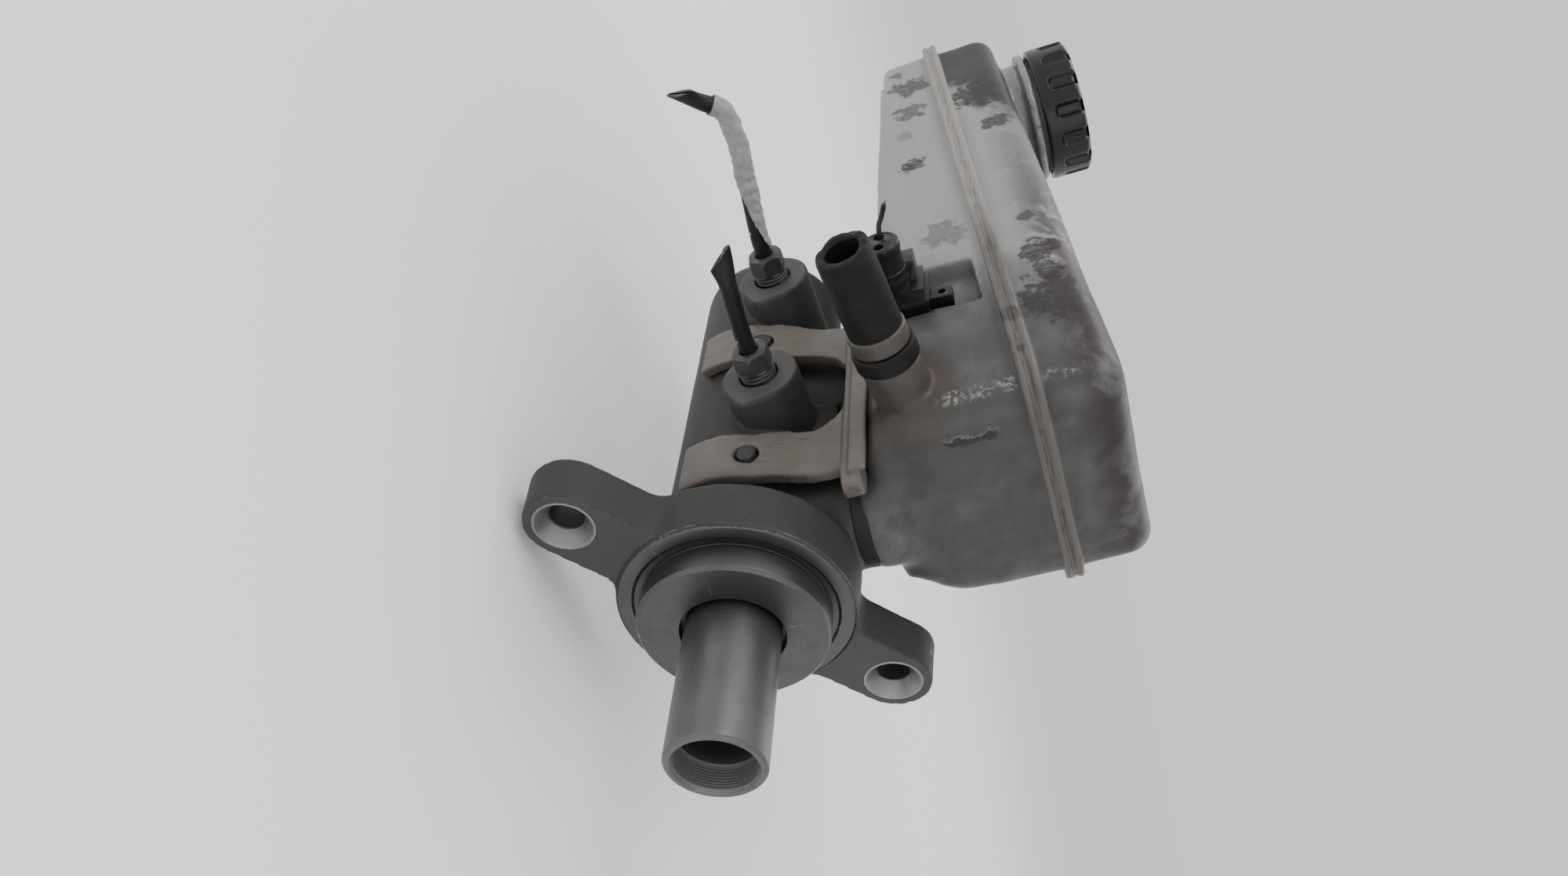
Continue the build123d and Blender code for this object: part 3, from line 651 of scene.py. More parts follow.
UPPER = tank_points("reservoir_upper_shell")
LOWER = tank_points("reservoir_lower_shell")
TANK_SEAM = min(p.z for p in UPPER)
TANK_TOP = max(p.z for p in UPPER if p.x < 100)
RIM_LOW = Vector((min(p.x for p in UPPER), min(p.y for p in UPPER)))
RIM_HIGH = Vector((max(p.x for p in UPPER), max(p.y for p in UPPER)))
HOSE_LOW, HOSE_HIGH = span("clutch_hose_stub")
COLLAR_LOW, COLLAR_HIGH = span("hose_collar")
NIPPLE_ROOT = Vector((
    (HOSE_LOW.x + HOSE_HIGH.x) / 2, COLLAR_LOW.y - 9.0, (COLLAR_LOW.z + COLLAR_HIGH.z) / 2))
NEAR_WALL = RIM_HIGH.y - 2.3
FAR_WALL = max(p.x for p in LOWER if p.z < TANK_SEAM - 15)
FAR_FLOOR = min(p.z for p in LOWER if p.x > FAR_WALL - 8)
# grime on the near wall and the edge of the roof: place along and above, size and strength
TANK_SMUDGES = [(tank_place(along, NEAR_WALL, above), size, strength) for along, above, size, strength in (
    (187, 70, 6.5, 0.85), (169, 68, 5.0, 0.75), (199, 67, 3.0, 0.7), (153, 65, 3.0, 0.35),
    (134, 65, 4.6, 0.95), (90, 69, 6.5, 0.5), (168, 90, 9.5, 0.95), (146, 93, 5.0, 0.9),
    (87, 91, 2.4, 0.8), (70, 91, 5.5, 0.9), (60, 91, 5.0, 0.85), (48, 91, 9.0, 0.85))]


# ---- pieces -------------------------------------------------------------------------------
CAST = cast_aluminium()
TURNED = turned_aluminium("turned_face", 0.105)
BRIGHT = turned_aluminium("turned_plunger", 0.135)
SEAT = turned_aluminium("bolt_seat", 0.26)
# a lighter copy of the turned metal for the plunger's mouth wall: painted light
LIT_MOUTH = turned_aluminium("plunger_mouth", 0.20, 0.35)
TANK = tank_plastic()
NECK = neck_plastic()
WELD = weld_plastic()
NYLON = nylon()
RUBBER = rubber()
DUSTY_RUBBER = rubber("hose_rubber", 0.005, 0.58)
BLACK = black_plastic()
CAP_PLASTIC = black_plastic("cap_plastic", 0.006, 0.26)
NUT = nut_steel()
PIPE = coated_pipe()
PAPER = paper()

PORT_FACE_Y = 28.1
ALONG_X = axis_frame((0, 0, 0), (1, 0, 0), (0, 1, 0))
PILOT = next(m for m in frame["record"]["mounts"] if m["name"] == "pilot")
PILOT_R = PILOT["dims"]["r_mm"]
BOLTS = next(m for m in frame["record"]["mounts"] if m["name"] == "flange_bolts")
BODY_LOW = span("cylinder_body")[0]
PLUNGER_LOW, PLUNGER_HIGH = span("primary_piston")
PLUNGER_R = PLUNGER_HIGH.y
SEAT_X = -1.2
SEAT_R = 28.9
GROOVE_R = 25.8
MOUTH_R = 12.6
LUG_ANGLE = math.radians(-40.3)                        # about X, from +Y
BORE_EDGE, BORE_EASE = 13.3, 0.35                      # inside this radius, the bore is widened by this
FACE_GONE = (1.0, 28.3)      # the casting is cut away here, where the turned face replaces it


def cast_body():
    mesh = moulded("cylinder_body", 0.55, 3)
    bm = bmesh.new()
    bm.from_mesh(mesh)
    front, radius = FACE_GONE
    gone = [v for v in bm.verts if v.co.x / MM < front
            and MOUTH_R - 0.5 < math.hypot(v.co.y, v.co.z) / MM < radius]
    bmesh.ops.delete(bm, geom=gone, context="VERTS")
    bm.to_mesh(mesh)
    bm.free()
    ripple, skin = wavy(16.0, 0.14), wavy(3.0, 0.035, 5.0)

    def shift(p):
        radius = math.hypot(p.y, p.z)
        if radius < BORE_EDGE and p.x > 2.0:           # the bore stays round, and clear of the seals
            return Vector((0, p.y, p.z)) * (BORE_EASE / max(radius, 1.0))
        return ripple(p) + skin(p)
    move_points(mesh, shift)
    add_object("cast_body", mesh, "housing", CAST, ["cylinder_body"])


def turned_face():
    """Pilot, seal groove and seat, turned in one go on the end of the casting."""
    front = BODY_LOW.x - 0.05
    outline = rounded([
        (-5.9, MOUTH_R - 0.05), (front, MOUTH_R - 0.05, 0.35), (front, PILOT_R - 0.85, 0.12),
        (front + 0.9, PILOT_R + 0.04, 0.12), (-1.9, PILOT_R + 0.04, 0.15), (-1.5, PILOT_R - 0.6, 0.15),
        (-0.7, PILOT_R - 0.6, 0.25), (-0.7, GROOVE_R - 1.3, 0.25), (SEAT_X - 0.04, GROOVE_R - 0.8, 0.3),
        (SEAT_X - 0.04, SEAT_R - 0.7, 0.35), (SEAT_X + 0.7, SEAT_R, 0.35), (1.4, SEAT_R),
        (1.4, 20.0), (-5.0, 20.0), (-5.0, 14.2), (-5.9, 14.2)], 0.05)
    add_object("turned_face", mesh_from(*lathe(outline, 320, ALONG_X)), "housing", TURNED)


def lug_seats():
    """The countersunk mouth of each bolt hole: a turned cone that stands just proud of the cast lug."""
    hole_r, reach = BOLTS["dims"]["hole_r_mm"], BOLTS["dims"]["pcd_mm"] / 2
    cone_end = 3.9                                     # the hole behind the cone is left as cast
    outline = rounded([
        (-0.02, 7.45), (-0.16, 6.95, 0.15), (3.5, hole_r - 0.4, 0.3), (11.9, hole_r - 0.4),
        (11.9, hole_r + 0.3), (cone_end, hole_r + 0.3), (0.5, 7.6)], 0.05)
    seats = []
    for side in (1, -1):
        centre = (0, side * reach * math.cos(LUG_ANGLE), side * reach * math.sin(LUG_ANGLE))
        seats.append(lathe(outline, 128, axis_frame(centre, (1, 0, 0))))
    piece = add_object("lug_seats", mesh_from(*joined(seats)), "housing", SEAT)
    piece.data.materials.append(CAST)
    for face in piece.data.polygons:
        if face.center.x / MM > cone_end:
            face.material_index = 1


def plunger():
    """Turned plunger with a stepped mouth, its lips broken and its bore finely grooved."""
    rear, front, outer = PLUNGER_LOW.x, PLUNGER_HIGH.x, PLUNGER_R
    mouth, socket = 9.2, 8.3
    grooves = [(rear + 1.2 + i * 0.35, mouth + (0.05 if i % 2 else -0.03), 0.03) for i in range(13)]
    outline = rounded([
        (rear, mouth + 0.7, 0.15), (rear, outer - 0.65, 0.15), (rear + 0.7, outer, 0.25),
        (front - 1.0, outer, 0.1), (front, outer - 1.0, 0.1), (front, 8.3, 0.1), (20.0, 8.3), (20.0, 0.0),
        (rear + 36.0, 0.0), (rear + 33.0, 4.6, 0.5), (rear + 30.0, 6.6, 0.3), (rear + 30.0, socket, 0.2),
        (rear + 8.2, socket, 1.0), (rear + 6.0, mouth, 1.0), *grooves[::-1],
        (rear + 0.7, mouth + 0.05, 0.1)], 0.05)
    piece = add_object("plunger", mesh_from(*lathe(outline, 256, ALONG_X)), "primary_plunger",
                       BRIGHT, ["primary_piston"])
    piece.data.materials.append(LIT_MOUTH)
    piece.data.materials.append(CAST)
    for face in piece.data.polygons:
        middle = face.center / MM
        # painted light and shade: the mouth wall takes the lighter copy, and the bore deeper in takes the dark
        # cast metal
        if math.hypot(middle.y, middle.z) < mouth + 0.25:
            face.material_index = 1 if middle.x < rear + 7.0 else 2


def at_far_floor(p):
    """Whether a point is near the lower edge of the tank's far end."""
    place = TO_TANK @ p
    return place.x > FAR_WALL - 22 and place.z < FAR_FLOOR + 11


def inlet_foot():
    """The moulded foot that swells out of the tank's rear corner and sits over the rear grommet."""
    low, high = span("grommet_rear")
    middle, base, tall = (low.x + high.x) / 2, high.z - 2.4, 13.5
    around, rings = 96, 40
    verts = []
    for i in range(rings + 1):
        t = max(0.0, i - 4) / (rings - 4)
        lip = min(1.0, i / 4)                          # the first rings roll the lower lip over
        rear, front = 13.9 - 9.4 * t ** 1.2, 13.9 + 1.5 * t
        side, square = 13.9 + 8.0 * t ** 1.9, 2.0 + 0.8 * t
        for k in range(around):
            c, n = math.cos(TAU * k / around), math.sin(TAU * k / around)
            x = (front if c > 0 else -rear) * abs(c) ** (2 / square)
            y = math.copysign(side * abs(n) ** (2 / square), n)
            shrink = 1 - 0.07 * (1 - lip) ** 2
            swell = 0.25 * noise.noise(Vector((c * 1.5, n * 1.5, t * 2)))
            verts.append(Vector((middle + x * shrink + c * swell, y * shrink + n * swell,
                                 base + 0.9 * lip ** 2 + tall * t)))
    faces = grid(rings + 1, around)
    faces += [tuple(range(around - 1, -1, -1)), tuple(rings * around + k for k in range(around))]
    return verts, faces


def at_rear_foot(p):
    """Whether a point is on the tank's lower rear part, with the foot and the nipple's root."""
    return p.x < 36 and p.z < 58 and p.y < 27


def tank_halves():
    sag, dents = wavy(34.0, 0.45, 2.0), wavy(9.0, 0.12, 7.0)
    for name, node in (("tank_lower", "reservoir_lower_shell"), ("tank_upper", "reservoir_upper_shell")):
        mesh = moulded(node, 0.7, 9, inlet_foot() if name == "tank_lower" else None)
        if name == "tank_lower":
            melt(mesh, at_rear_foot, 50)
            melt(mesh, at_far_floor, 70)
        move_points(mesh, lambda p: sag(p) + dents(p))
        piece = add_object(name, mesh, "housing", TANK, [node])
        piece.data.materials.append(NECK)
        for face in mesh.polygons:
            if (TO_TANK @ face.center).z / MM > TANK_TOP + 0.6:
                face.material_index = 1


def rim_path(steps=14, corner=11.3):
    """Points and outward directions round the rim, in the tank frame."""
    points = []
    corners = ((RIM_HIGH.x, RIM_HIGH.y, 0), (RIM_LOW.x, RIM_HIGH.y, 90),
               (RIM_LOW.x, RIM_LOW.y, 180), (RIM_HIGH.x, RIM_LOW.y, 270))
    for x, y, start in corners:
        cx = x - corner if x > 100 else x + corner
        cy = y - corner if y > 0 else y + corner
        for k in range(steps + 1):
            angle = math.radians(start + 90 * k / steps)
            out = Vector((math.cos(angle), math.sin(angle)))
            points.append((Vector((cx, cy)) + out * corner, out))
    dense = []
    for (a, out_a), (b, out_b) in zip(points, points[1:] + points[:1]):
        pieces = max(1, int((b - a).length / 1.2))
        for k in range(pieces):
            t = k / pieces
            dense.append((a.lerp(b, t), out_a.lerp(out_b, t).normalized()))
    return dense


def weld_seam():
    """The hot-plate weld: squeezed-out beads along both halves of the rim."""
    section = rounded([
        (-1.6, -2.4), (0.25, -2.4, 0.4), (0.75, -1.6, 0.4), (0.60, -0.95, 0.25), (0.18, -0.70, 0.12),
        (0.42, -0.2, 0.2), (0.10, 0.12, 0.12), (0.62, 0.7, 0.3), (0.80, 1.5, 0.4),
        (0.30, 2.3, 0.4), (-1.6, 2.3)], 0.2)
    verts, faces, path = [], [], rim_path()
    for point, out in path:
        for offset, height in section:
            spot = Vector((point.x / 2.6, point.y / 2.6, height * 1.1))
            swell = noise.noise(spot) * 0.30 + noise.noise(spot * 4.0) * 0.12
            drift = noise.noise(Vector((point.x / 14.0, point.y / 14.0, 3.0))) * 0.25
            flat = point + out * (offset + (swell if offset > 0 else 0.0))
            verts.append(tank_place(flat.x, flat.y, TANK_SEAM + height + drift))
    count, total = len(section), len(path)
    for i in range(total):
        a, b = i * count, (i + 1) % total * count
        for j in range(count):
            k = (j + 1) % count
            faces.append((a + j, b + j, b + k, a + k))
    add_object("weld_seam", mesh_from(verts, faces, 60.0), "housing", WELD)


def filler_cap():
    """Screw cap: a skirt with deep grip flutes, a rolled top edge and a dished crown."""
    points = tank_points("filler_cap")
    low_c, high_c = min(p.z for p in points), max(p.z for p in points)
    radius = max(p.y for p in points) - JOINTS["cap_turn"]["pos_m"][1] / MM
    centre = Vector(JOINTS["cap_turn"]["pos_m"]) / MM
    base = centre + TANK_UP * (low_c - (TO_TANK @ centre).z)
    tall, lobes, bore, depth = high_c - low_c, 14, 20.25, 1.7
    skin = [(0.0, radius - 1.6, 0.1), (0.0, radius - 0.2, 0.3), (0.9, radius, 0.3)]
    skin += [(1.5 + i * (tall - 3.2) / 24, radius) for i in range(25)]
    skin += [(tall - 0.9, radius - 0.15, 0.5), (tall, radius - 1.9, 0.6), (tall, 17.2, 0.4),
             (tall - 0.9, 16.2, 0.4), (tall - 0.9, 9.4, 0.4), (tall - 0.2, 8.6, 0.4), (tall - 0.2, 0.0),
             (10.15, 0.0), (10.15, 20.1, 0.5), (0.6, 20.1, 0.1)]

    def shape(angle, height, r):
        if r < bore:
            return height, r
        phase = (angle * lobes / TAU) % 1.0
        flute = ease(unit((1.0 - abs(phase - 0.5) / 0.30) * 1.5))
        root = unit((height - 0.27 * tall - 0.9 * (1 - flute)) / 1.3)
        return height, r - depth * flute * root * root * (3 - 2 * root)
    shell = lathe(rounded(skin, 0.12), lobes * 48, axis_frame(base, TANK_UP, (0, 1, 0)), shape)
    add_object("grip_cap", mesh_from(*shell, 35.0), "cap", CAP_PLASTIC, ["filler_cap"])


def hose_place():
    """Hose axis, from the middle of its collar to its cut end."""
    start = Vector(((COLLAR_LOW.x + COLLAR_HIGH.x) / 2, (COLLAR_LOW.y + COLLAR_HIGH.y) / 2,
                    (COLLAR_LOW.z + COLLAR_HIGH.z) / 2))
    outer = (HOSE_HIGH.x - HOSE_LOW.x) / 2
    slope = math.asin((COLLAR_HIGH.z - COLLAR_LOW.z - 2 * 7.7 * math.cos(math.radians(4.8))) / 4.8)
    axis = Vector((0, math.cos(slope), -math.sin(slope)))
    length = (HOSE_HIGH.y - start.y) / axis.y
    return start, axis, outer, length


def hose_and_rings():
    start, axis, outer, length = hose_place()
    place = axis_frame(start, axis, (1, 0, 0))
    bore = 4.05

    def ragged(angle, height, radius):
        spot = Vector((math.cos(angle) * 1.6, math.sin(angle) * 1.6, radius * 0.35))
        lip = noise.noise(spot) * 0.45 + noise.noise(spot * 3.0) * 0.18 - 0.35 * math.cos(angle - 2.2)
        near_end = unit((height - length + 5.0) / 4.0)
        sway = 0.12 * noise.noise(Vector((math.cos(angle), math.sin(angle), height / 6.0)))
        oval = 0.25 * near_end * (radius > 5.0) * math.cos(2 * angle + 0.6)
        return height + (lip - 0.6) * near_end, radius + sway + oval
    body = [(7.3 + i * (length - 8.3) / 18, outer) for i in range(19)]
    inner = [(length - 1.2 - i * 1.5, bore) for i in range(9)]
    outline = rounded([
        (7.3, bore + 0.1), *body, (length - 0.2, outer - 0.15, 0.6), (length, outer - 0.9, 0.5),
        (length, bore + 0.6, 0.5), (length - 0.6, bore, 0.5), *inner], 0.1)
    add_object("cut_hose", mesh_from(*lathe(outline, 144, place, ragged)), "housing", DUSTY_RUBBER,
               ["clutch_hose_stub"])
    pale = nylon("sleeve_nylon", 0.52, False)
    for name, node, low, high, radius, slot_name, material in (
            ("pale_sleeve", "hose_sleeve", 2.45, 7.2, 7.0, "sleeve_plastic", pale),
            ("dark_collar", "hose_collar", -2.4, 2.4, 7.7, "rubber", RUBBER)):
        outline = rounded([(low, 4.1), (low, radius, 0.7), (high, radius, 0.7), (high, 4.1)], 0.2, 5)
        add_object(name, mesh_from(*lathe(outline, 128, place)), "housing", material, [node])


def saddle():
    """Nylon saddle. Its legs wander in the mould, and each rear edge rolls inwards."""
    mesh = moulded("strap_saddle", 0.45, 9)
    ripple = wavy(11.0, 0.22, 4.0)

    def shift(p):
        move = ripple(p)
        leg = math.exp(-((p.z - 23.0) / 7.0) ** 2)
        move.x -= 1.7 * leg * (1 if p.y > 0 else 0.5)
        middle = 28.5 if p.y > 0 else 37.5
        rear = middle - 7.5 + 3.2
        if p.z < 31 and p.x < rear:
            depth = 0.9 * min(1.0, (rear - p.x) / 3.2) ** 2
            move += Vector((0, -math.copysign(depth, p.y), 0))
        return move
    move_points(mesh, shift)
    add_object("nylon_saddle", mesh, "housing", NYLON, ["strap_saddle"])


def port_middle(nut):
    """The middle of the port face that a tube nut is screwed into."""
    low, high = span(nut)
    return Vector(((low.x + high.x) / 2, PORT_FACE_Y, (low.z + high.z) / 2))


def pipe_nuts():
    for name, node in (("tube_nut_rear", "pipe_nut_rear"), ("tube_nut_front", "pipe_nut_front")):
        top, flats = span(node)[1].y - PORT_FACE_Y, 4.4
        thread = [(-10.0, 4.5)] + [(-0.4 + i * 0.26, 4.5) for i in range(12)]
        outline = thread + [(2.75, 4.9), (2.95, 5.1)] + [(3.0 + i * (top - 3.2) / 10, 5.1) for i in range(11)]
        outline += [(top, 3.9), (top, 2.8), (top - 0.3, 2.38), (-10.0, 2.38)]

        def shape(angle, height, radius):
            if radius < 4.2 or height < -2.0:
                return height, radius
            if height < 2.7:
                turn = (height / 1.05 - angle / TAU) % 1.0
                return height, radius + 0.32 * (1 - abs(2 * turn - 1)) - 0.1
            local = (angle + math.pi / 6) % (math.pi / 3) - math.pi / 6
            hexagon = flats / math.cos(local)
            crown = 4.35 + (top - height) * 0.6
            skirt = 4.6 + (height - 2.7) * 1.2
            return height, min(hexagon, crown, skirt)
        shell = lathe(outline, 192, axis_frame(port_middle(node), (0, 1, 0), (0, 0, 1)), shape)
        add_object(name, mesh_from(*shell, 25.0), "housing", NUT, [node])


def smooth_route(points, samples):
    """Evenly spaced points and directions along a smooth line through a few corners."""
    curve = bpy.data.curves.new("route", "CURVE")
    curve.dimensions = "3D"
    spline = curve.splines.new("NURBS")
    spline.points.add(len(points) - 1)
    for slot_point, point in zip(spline.points, points):
        slot_point.co = (*point, 1.0)
    spline.order_u, spline.use_endpoint_u, spline.resolution_u = 3, True, 24
    holder = bpy.data.objects.new("route", curve)
    bpy.context.scene.collection.objects.link(holder)
    line = [v.co.copy() for v in bpy.data.meshes.new_from_object(holder).vertices]
    bpy.data.objects.remove(holder)
    lengths = [0.0]
    for a, b in zip(line, line[1:]):
        lengths.append(lengths[-1] + (b - a).length)
    out = []
    for i in range(samples + 1):
        target = lengths[-1] * i / samples
        k = max(j for j in range(len(lengths)) if lengths[j] <= target + 1e-9)
        k = min(k, len(line) - 2)
        t = (target - lengths[k]) / max(1e-9, lengths[k + 1] - lengths[k])
        out.append((line[k].lerp(line[k + 1], t), (line[k + 1] - line[k]).normalized(), target))
    return out, lengths[-1]


def tube(route, total, section, sides, flat_dir):
    """Sweeps a section along a route. section(distance, total, angle) gives across, through and ahead."""
    verts = []
    for point, direction, target in route:
        thick = Vector(flat_dir)
        thick = (thick - direction * thick.dot(direction)).normalized()
        wide = direction.cross(thick)
        for k in range(sides):
            across, through, ahead = section(target, total, TAU * k / sides)
            verts.append(point + wide * across + thick * through + direction * ahead)
    return verts, grid(len(route), sides)


def round_section(radius):
    """A plain round section for tube."""
    return lambda distance, total, angle: (radius * math.sin(angle), radius * math.cos(angle), 0.0)


# the straight part of the front pipe, which the paper is wrapped round, from the port face
FRONT_RUN = [(0.4, 13.5, 0.1), (3.4, 26.0, 1.2), (6.2, 38.0, 2.4), (7.4, 47.6, 1.9)]


def brake_pipes():
    """Steel pipe in a black coating, cut through with pliers, so that each end is pinched flat."""
    radius, bore, sides = 2.25, 1.55, 48
    crushed = 8.0                                  # length over which the end goes flat
    routes = {
        "brake_pipe_rear": ([(0, -9.1, 0), (0, 9.5, 0), (0, 13.0, 0), (1.6, 27.9, 1.0), (2.2, 34.0, 1.35)],
                            (1.0, 0.0, -0.33), -2.6),
        "brake_pipe_front": ([(0, -9.1, 0), (0, 9.5, 0), *FRONT_RUN, (6.9, 50.2, -0.2), (5.8, 52.7, -3.3),
                              (4.5, 57.0, -7.2)], (1.0, 0.35, 0.3), 2.2)}
    for node, (points, flat, slant) in routes.items():
        base = port_middle(node.replace("brake_pipe", "pipe_nut"))
        route, total = smooth_route([base + Vector(p) for p in points], 170)

        def flattened(distance, whole):
            return unit((distance - whole + crushed) / crushed)

        def outside(distance, whole, angle):
            t = flattened(distance, whole)
            crush = ease(t)
            wide = radius * (1 + 0.38 * crush) * math.sin(angle)
            deep = radius * (1 - 0.60 * crush) * math.cos(angle)
            lip = 0.25 * noise.noise(Vector((math.sin(angle) * 2, math.cos(angle), slant)))
            return wide, deep, (slant * math.sin(angle) + lip) * t * t

        def inside(distance, whole, angle):
            wide, deep, ahead = outside(distance, whole, angle)
            return wide * bore / radius, deep * bore / radius * (1 - 0.55 * flattened(distance, whole)), ahead
        skin = tube(route, total, outside, sides, flat)
        inner, inner_faces = tube(route, total, inside, sides, flat)
        start = len(skin[0])
        verts, faces = joined([skin, (inner, [face[::-1] for face in inner_faces])])
        for ring in (0, (len(route) - 1) * sides):
            for k in range(sides):
                n = (k + 1) % sides
                faces.append((ring + k, ring + n, start + ring + n, start + ring + k))
        add_object(node.replace("brake", "steel"), mesh_from(verts, faces, 40.0), "housing",
                   PIPE, [node])


def paper_wrap():
    """Creased paper tape round the long pipe. Its lower end is torn away to one side."""
    base = port_middle("pipe_nut_front")
    path = [(0, 9.3, 0)] + FRONT_RUN + [(7.05, 49.8, 0.2), (6.6, 51.2, -1.3)]
    route, total = smooth_route([base + Vector(p) for p in path], 190)
    turns, layers, sides, rows = 1.2, 0.16, 130, 190
    lean = Vector((1.0, 0.0, 0.3))

    def sheet_at(along, k):
        """One point of the sheet: along runs 0 to 1, k is the step round the pipe."""
        angle = TAU * turns * k / sides + 4.2
        away = 0.5 + 0.5 * math.cos(angle - 2.1)
        ragged = noise.noise(Vector((k / 4.0, 2.0, 0))) * 0.03
        ragged += noise.noise(Vector((k / 1.4, 5.0, 0))) * 0.012
        torn = 0.02 + 0.42 * away ** 1.4 + ragged
        far_end = 0.995 - 0.02 * abs(noise.noise(Vector((k / 5.0, 9.0, 0))))
        t = torn + (far_end - torn) * along
        index = min(len(route) - 2, int(t * (len(route) - 1)))
        part = t * (len(route) - 1) - index
        point = route[index][0].lerp(route[index + 1][0], part)
        direction = route[index][1].lerp(route[index + 1][1], part).normalized()
        thick = (lean - direction * direction.dot(lean)).normalized()
        wide = direction.cross(thick)
        spot = Vector((math.cos(angle) * 1.1, math.sin(angle) * 1.1, t * total / 4.0))
        crease = abs(noise.noise(spot)) * 0.60 + abs(noise.noise(spot * 2.3)) * 0.30
        curl = 0.5 * max(0.0, 1 - along * 7) * abs(noise.noise(spot * 2))
        radius = 2.32 + layers * k / sides + crease + curl
        return point + (wide * math.sin(angle) + thick * math.cos(angle)) * radius
    verts = [sheet_at(i / rows, k) for i in range(rows + 1) for k in range(sides + 1)]
    faces = grid(rows + 1, sides + 1, False, False)
    piece = add_object("torn_label", mesh_from(verts, faces, 30.0), "housing", PAPER,
                       ["pipe_label"])
    solid = piece.modifiers.new("paper", "SOLIDIFY")
    solid.thickness, solid.offset = 0.1 * MM, 1.0


def sensor():
    """Level switch: crisp moulded blocks, with a ribbed round socket for two pins."""
    mesh = edged("level_sensor", 0.35, 3, 30.0)
    add_object("switch_body", mesh, "housing", BLACK, ["level_sensor"])
    low, high = span("level_sensor")
    pins_low, pins_high = span("sensor_terminals")
    centre = Vector(((pins_low.x + pins_high.x) / 2, high.y, (pins_low.z + pins_high.z) / 2))
    outline = rounded([
        (-9.0, 4.55), (-9.0, 4.95, 0.1), (-7.6, 4.95, 0.1), (-7.5, 4.72), (-2.4, 4.72), (-2.2, 4.95, 0.1),
        (-0.35, 4.95, 0.2), (0.12, 4.5, 0.2), (0.12, 3.9, 0.1), (-0.7, 3.7, 0.1), (-0.7, 2.9), (-3.0, 2.9),
        (-3.0, 4.3)], 0.08)
    rings = lathe(outline, 96, axis_frame(centre, (0, 1, 0), (0, 0, 1)))
    add_object("socket_rings", mesh_from(*rings), "housing", BLACK)
    outline = rounded([
        (-2.6, 0.55), (-2.6, 0.75, 0.1), (2.6, 0.75, 0.1), (2.6, 0.55), (2.2, 0.0), (-2.2, 0.0)], 0.08)
    places = [Vector((low.x + 1.6 + i * 1.9, low.y + 5.6, high.z - 6.3)) for i in range(5)]
    ribs = [lathe(outline, 20, axis_frame(place, (0, 0, 1))) for place in places]
    add_object("switch_ribs", mesh_from(*joined(ribs)), "housing", BLACK)


def broken_wire():
    """Thin insulated wire, broken off, with a few copper strands left at its end."""
    low, high = span("sensor_wire")
    points = [Vector((low.x + 0.65, low.y, low.z + 0.65)), Vector((low.x + 1.2, low.y + 4.2, low.z + 1.0)),
              Vector((high.x - 0.9, high.y - 3.5, high.z - 1.9)),
              Vector((high.x - 0.5, high.y - 0.4, high.z - 0.6))]
    route, total = smooth_route(points, 60)

    def jacket(distance, whole, angle):
        swell = 0.05 * noise.noise(Vector((math.cos(angle), math.sin(angle), distance)))
        end = max(0.0, 1 - (whole - distance) / 0.5)
        radius = 0.64 + swell - 0.12 * end
        ahead = 0.5 * end * noise.noise(Vector((math.cos(angle) * 2, math.sin(angle) * 2, 4)))
        return radius * math.sin(angle), radius * math.cos(angle), ahead
    verts, faces = tube(route, total, jacket, 20, (1.0, 0.2, 0.1))
    last = (len(route) - 1) * 20
    faces += [tuple(last + k for k in range(20)), tuple(range(19, -1, -1))]
    add_object("wire_jacket", mesh_from(verts, faces), "housing", BLACK, ["sensor_wire"])
    rng = random.Random(4)
    tip, direction = route[-1][0], route[-1][1]
    strands = []
    for _ in range(7):
        lean = Vector((rng.uniform(-1, 1), rng.uniform(-1, 1), rng.uniform(-1, 1))) * 0.45
        start = tip - direction * 1.6 + lean * 0.3
        end = tip + direction * rng.uniform(0.3, 1.0) + lean * 0.8
        line = [(start.lerp(end, i / 8), (end - start).normalized(), i / 8) for i in range(9)]
        points, faces = tube(line, 1.0, round_section(0.09), 8, (0.3, 1, 0.2))
        strands.append((points, faces + [tuple(range(64, 72))]))
    add_object("wire_strands", mesh_from(*joined(strands)), "housing",
               plain_metal("copper_strands", 0.20, 0.34, 0.4, 1.0, 0.45))


def return_springs():
    """Round-wire springs with closed ends."""
    steel = plain_metal("spring_wire", 0.10, 0.22, 0.35, 1.0, 0.0)
    for node, body, joint, turns in (("primary_spring", "secondary_plunger", "primary_stroke", 8.5),
                                     ("secondary_spring", "housing", "secondary_stroke", 9.5)):
        low, high = span(node)
        wire, coil, steps = 1.1, (high.y - low.y) / 2 - 1.1, 72
        start, length = low.x + wire, high.x - low.x - 2 * wire
        open_turns = turns - 2
        pitch = (length - 2 * 2 * wire) / open_turns

        def coil_point(turn):
            flat = min(turn, 1.0) + max(0.0, turn - turns + 1.0)
            x = start + flat * 2 * wire + min(max(turn - 1.0, 0.0), open_turns) * pitch
            return Vector((x, coil * math.cos(TAU * turn), coil * math.sin(TAU * turn)))
        count = int(turns * steps)
        line = [coil_point(turns * i / count) for i in range(count + 1)]
        route = [(line[i], (line[min(i + 1, count)] - line[max(i - 1, 0)]).normalized(), i / count)
                 for i in range(count + 1)]
        verts, faces = tube(route, 1.0, round_section(wire), 14, (1, 0, 0))
        faces += [tuple(range(13, -1, -1)), tuple(count * 14 + k for k in range(14))]
        piece = add_object(node.replace("spring", "coil"), mesh_from(verts, faces, 40.0), body,
                           steel, [node])
        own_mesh(piece)


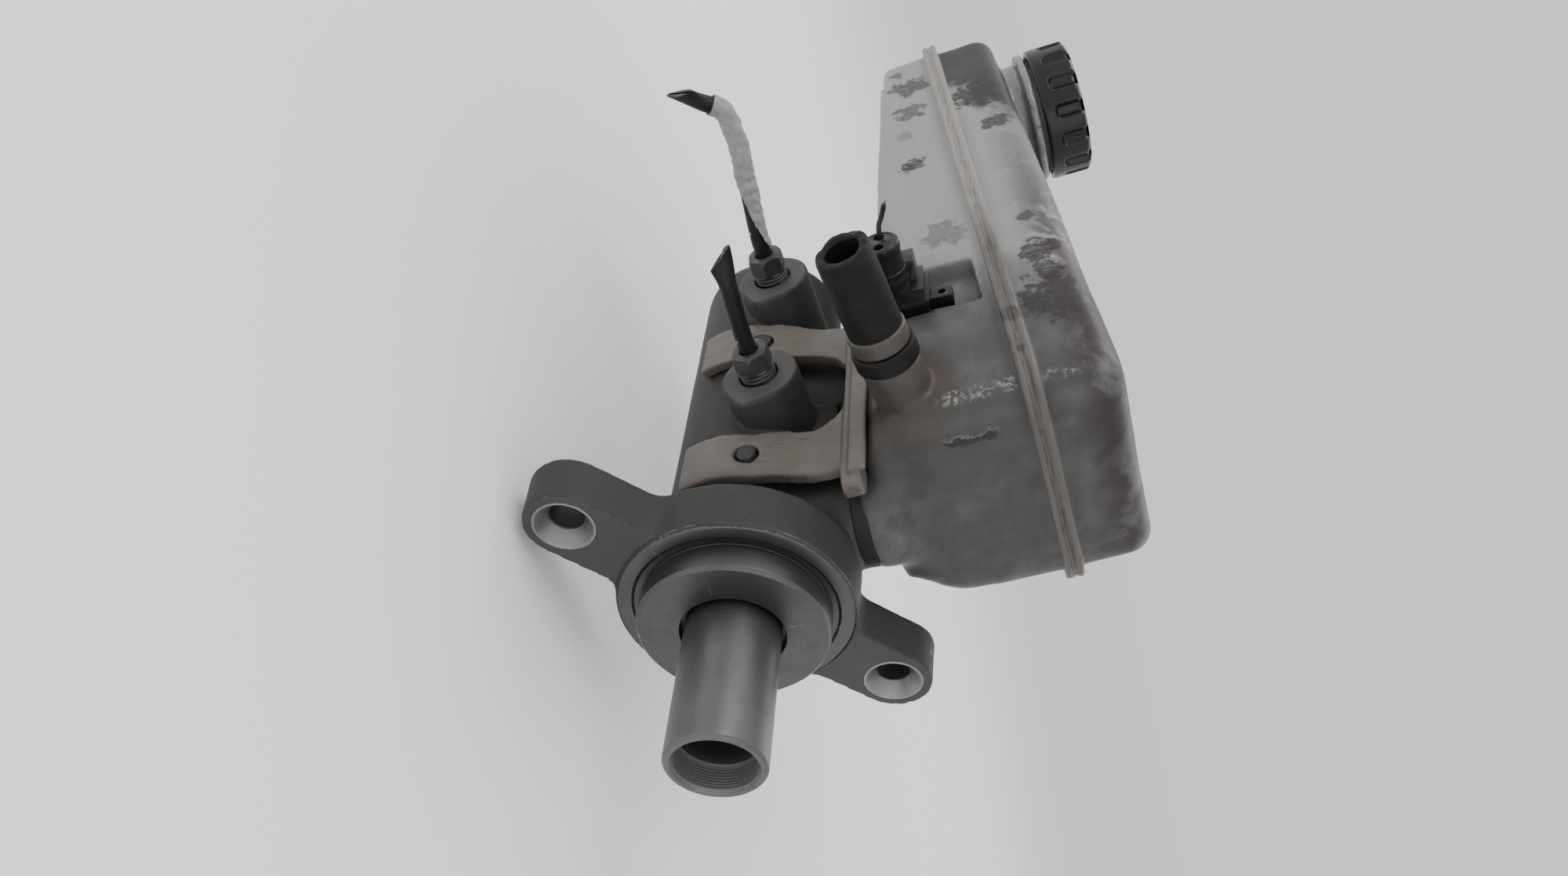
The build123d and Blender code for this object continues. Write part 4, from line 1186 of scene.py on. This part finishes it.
def dress_carried_nodes():
    """The frame's own pieces that keep their shape get their material here."""
    brass = plain_metal("brass_pins", 0.20, 0.36, 0.35, 1.0, 0.30)
    dress = {"secondary_piston": BRIGHT, "guide_pin": NUT, "guide_sleeve": NUT, "sensor_terminals": brass,
             "guide_bush": BLACK, "float_magnet": BLACK, "filler_strainer": NYLON,
             "level_float": nylon("float_nylon", 0.9, False)}
    for node in ("vacuum_seal", "primary_cup_seal", "secondary_cup_seal", "piston_seal", "cap_seal",
                 "grommet_rear", "grommet_front"):
        dress[node] = RUBBER
    for node, material in dress.items():
        mesh = frame["nodes"][node].data
        mesh.materials.clear()
        mesh.materials.append(material)


def studio():
    """Big soft lights round a pale floor, and the camera above the object's outlet side."""
    scene = bpy.context.scene
    world = bpy.data.worlds.new("studio")
    scene.world = world
    world.use_nodes = True
    sky = world.node_tree.nodes["Background"].inputs
    sky["Color"].default_value, sky["Strength"].default_value = (1, 1, 1, 1), 0.95
    low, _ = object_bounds()
    floor_mesh = bpy.data.meshes.new("floor")
    reach = 60.0
    corners = [(-reach, -reach, 0), (reach, -reach, 0), (reach, reach, 0), (-reach, reach, 0)]
    floor_mesh.from_pydata(corners, [], [(0, 1, 2, 3)])
    floor = bpy.data.objects.new("floor", floor_mesh)
    floor.location.z = low[2] - 0.002
    scene.collection.objects.link(floor)
    floor_paint = bpy.data.materials.new("pale_floor")
    floor_paint.use_nodes = True
    shader = floor_paint.node_tree.nodes["Principled BSDF"]
    shader.inputs["Base Color"].default_value = (0.95, 0.95, 0.95, 1)
    shader.inputs["Roughness"].default_value = 0.9
    floor_mesh.materials.append(floor_paint)
    floor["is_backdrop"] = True
    target = Vector((0.055, 0.0, 0.03))
    for name, place, size, watts in (
            ("key", (0.10, 0.62, 0.52), 0.45, 2.4), ("fill", (-0.62, 0.18, 0.20), 0.6, 0.8),
            ("edge", (0.55, 0.10, 0.55), 0.5, 1.4), ("back", (0.2, -0.6, 0.5), 0.6, 1.2)):
        data = bpy.data.lights.new(name, "AREA")
        data.shape, data.size, data.energy = "DISK", size, watts
        lamp = bpy.data.objects.new(name, data)
        lamp.location = place
        lamp.rotation_euler = (target - Vector(place)).to_track_quat("-Z", "Y").to_euler()
        scene.collection.objects.link(lamp)
        lamp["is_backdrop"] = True
    camera = bpy.data.objects.new("camera", bpy.data.cameras.new("camera"))
    camera.data.lens, camera.data.sensor_width = 27.67, 36.0
    camera.data.clip_start = 0.01
    right, up, forward, place = (Vector(v) for v in (
        (0.073, -0.301, 0.951), (0.654, 0.734, 0.182), (0.753, -0.609, -0.250), (-0.1888, 0.2010, 0.0899)))
    camera.matrix_world = Matrix((
        (right.x, up.x, -forward.x, place.x), (right.y, up.y, -forward.y, place.y),
        (right.z, up.z, -forward.z, place.z), (0, 0, 0, 1)))
    scene.collection.objects.link(camera)
    scene.camera = camera
    camera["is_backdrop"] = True


# ---- build --------------------------------------------------------------------------------
cast_body()
turned_face()
lug_seats()
plunger()
tank_halves()
weld_seam()
filler_cap()
hose_and_rings()
saddle()
pipe_nuts()
brake_pipes()
paper_wrap()
sensor()
broken_wire()
return_springs()
dress_carried_nodes()
studio()
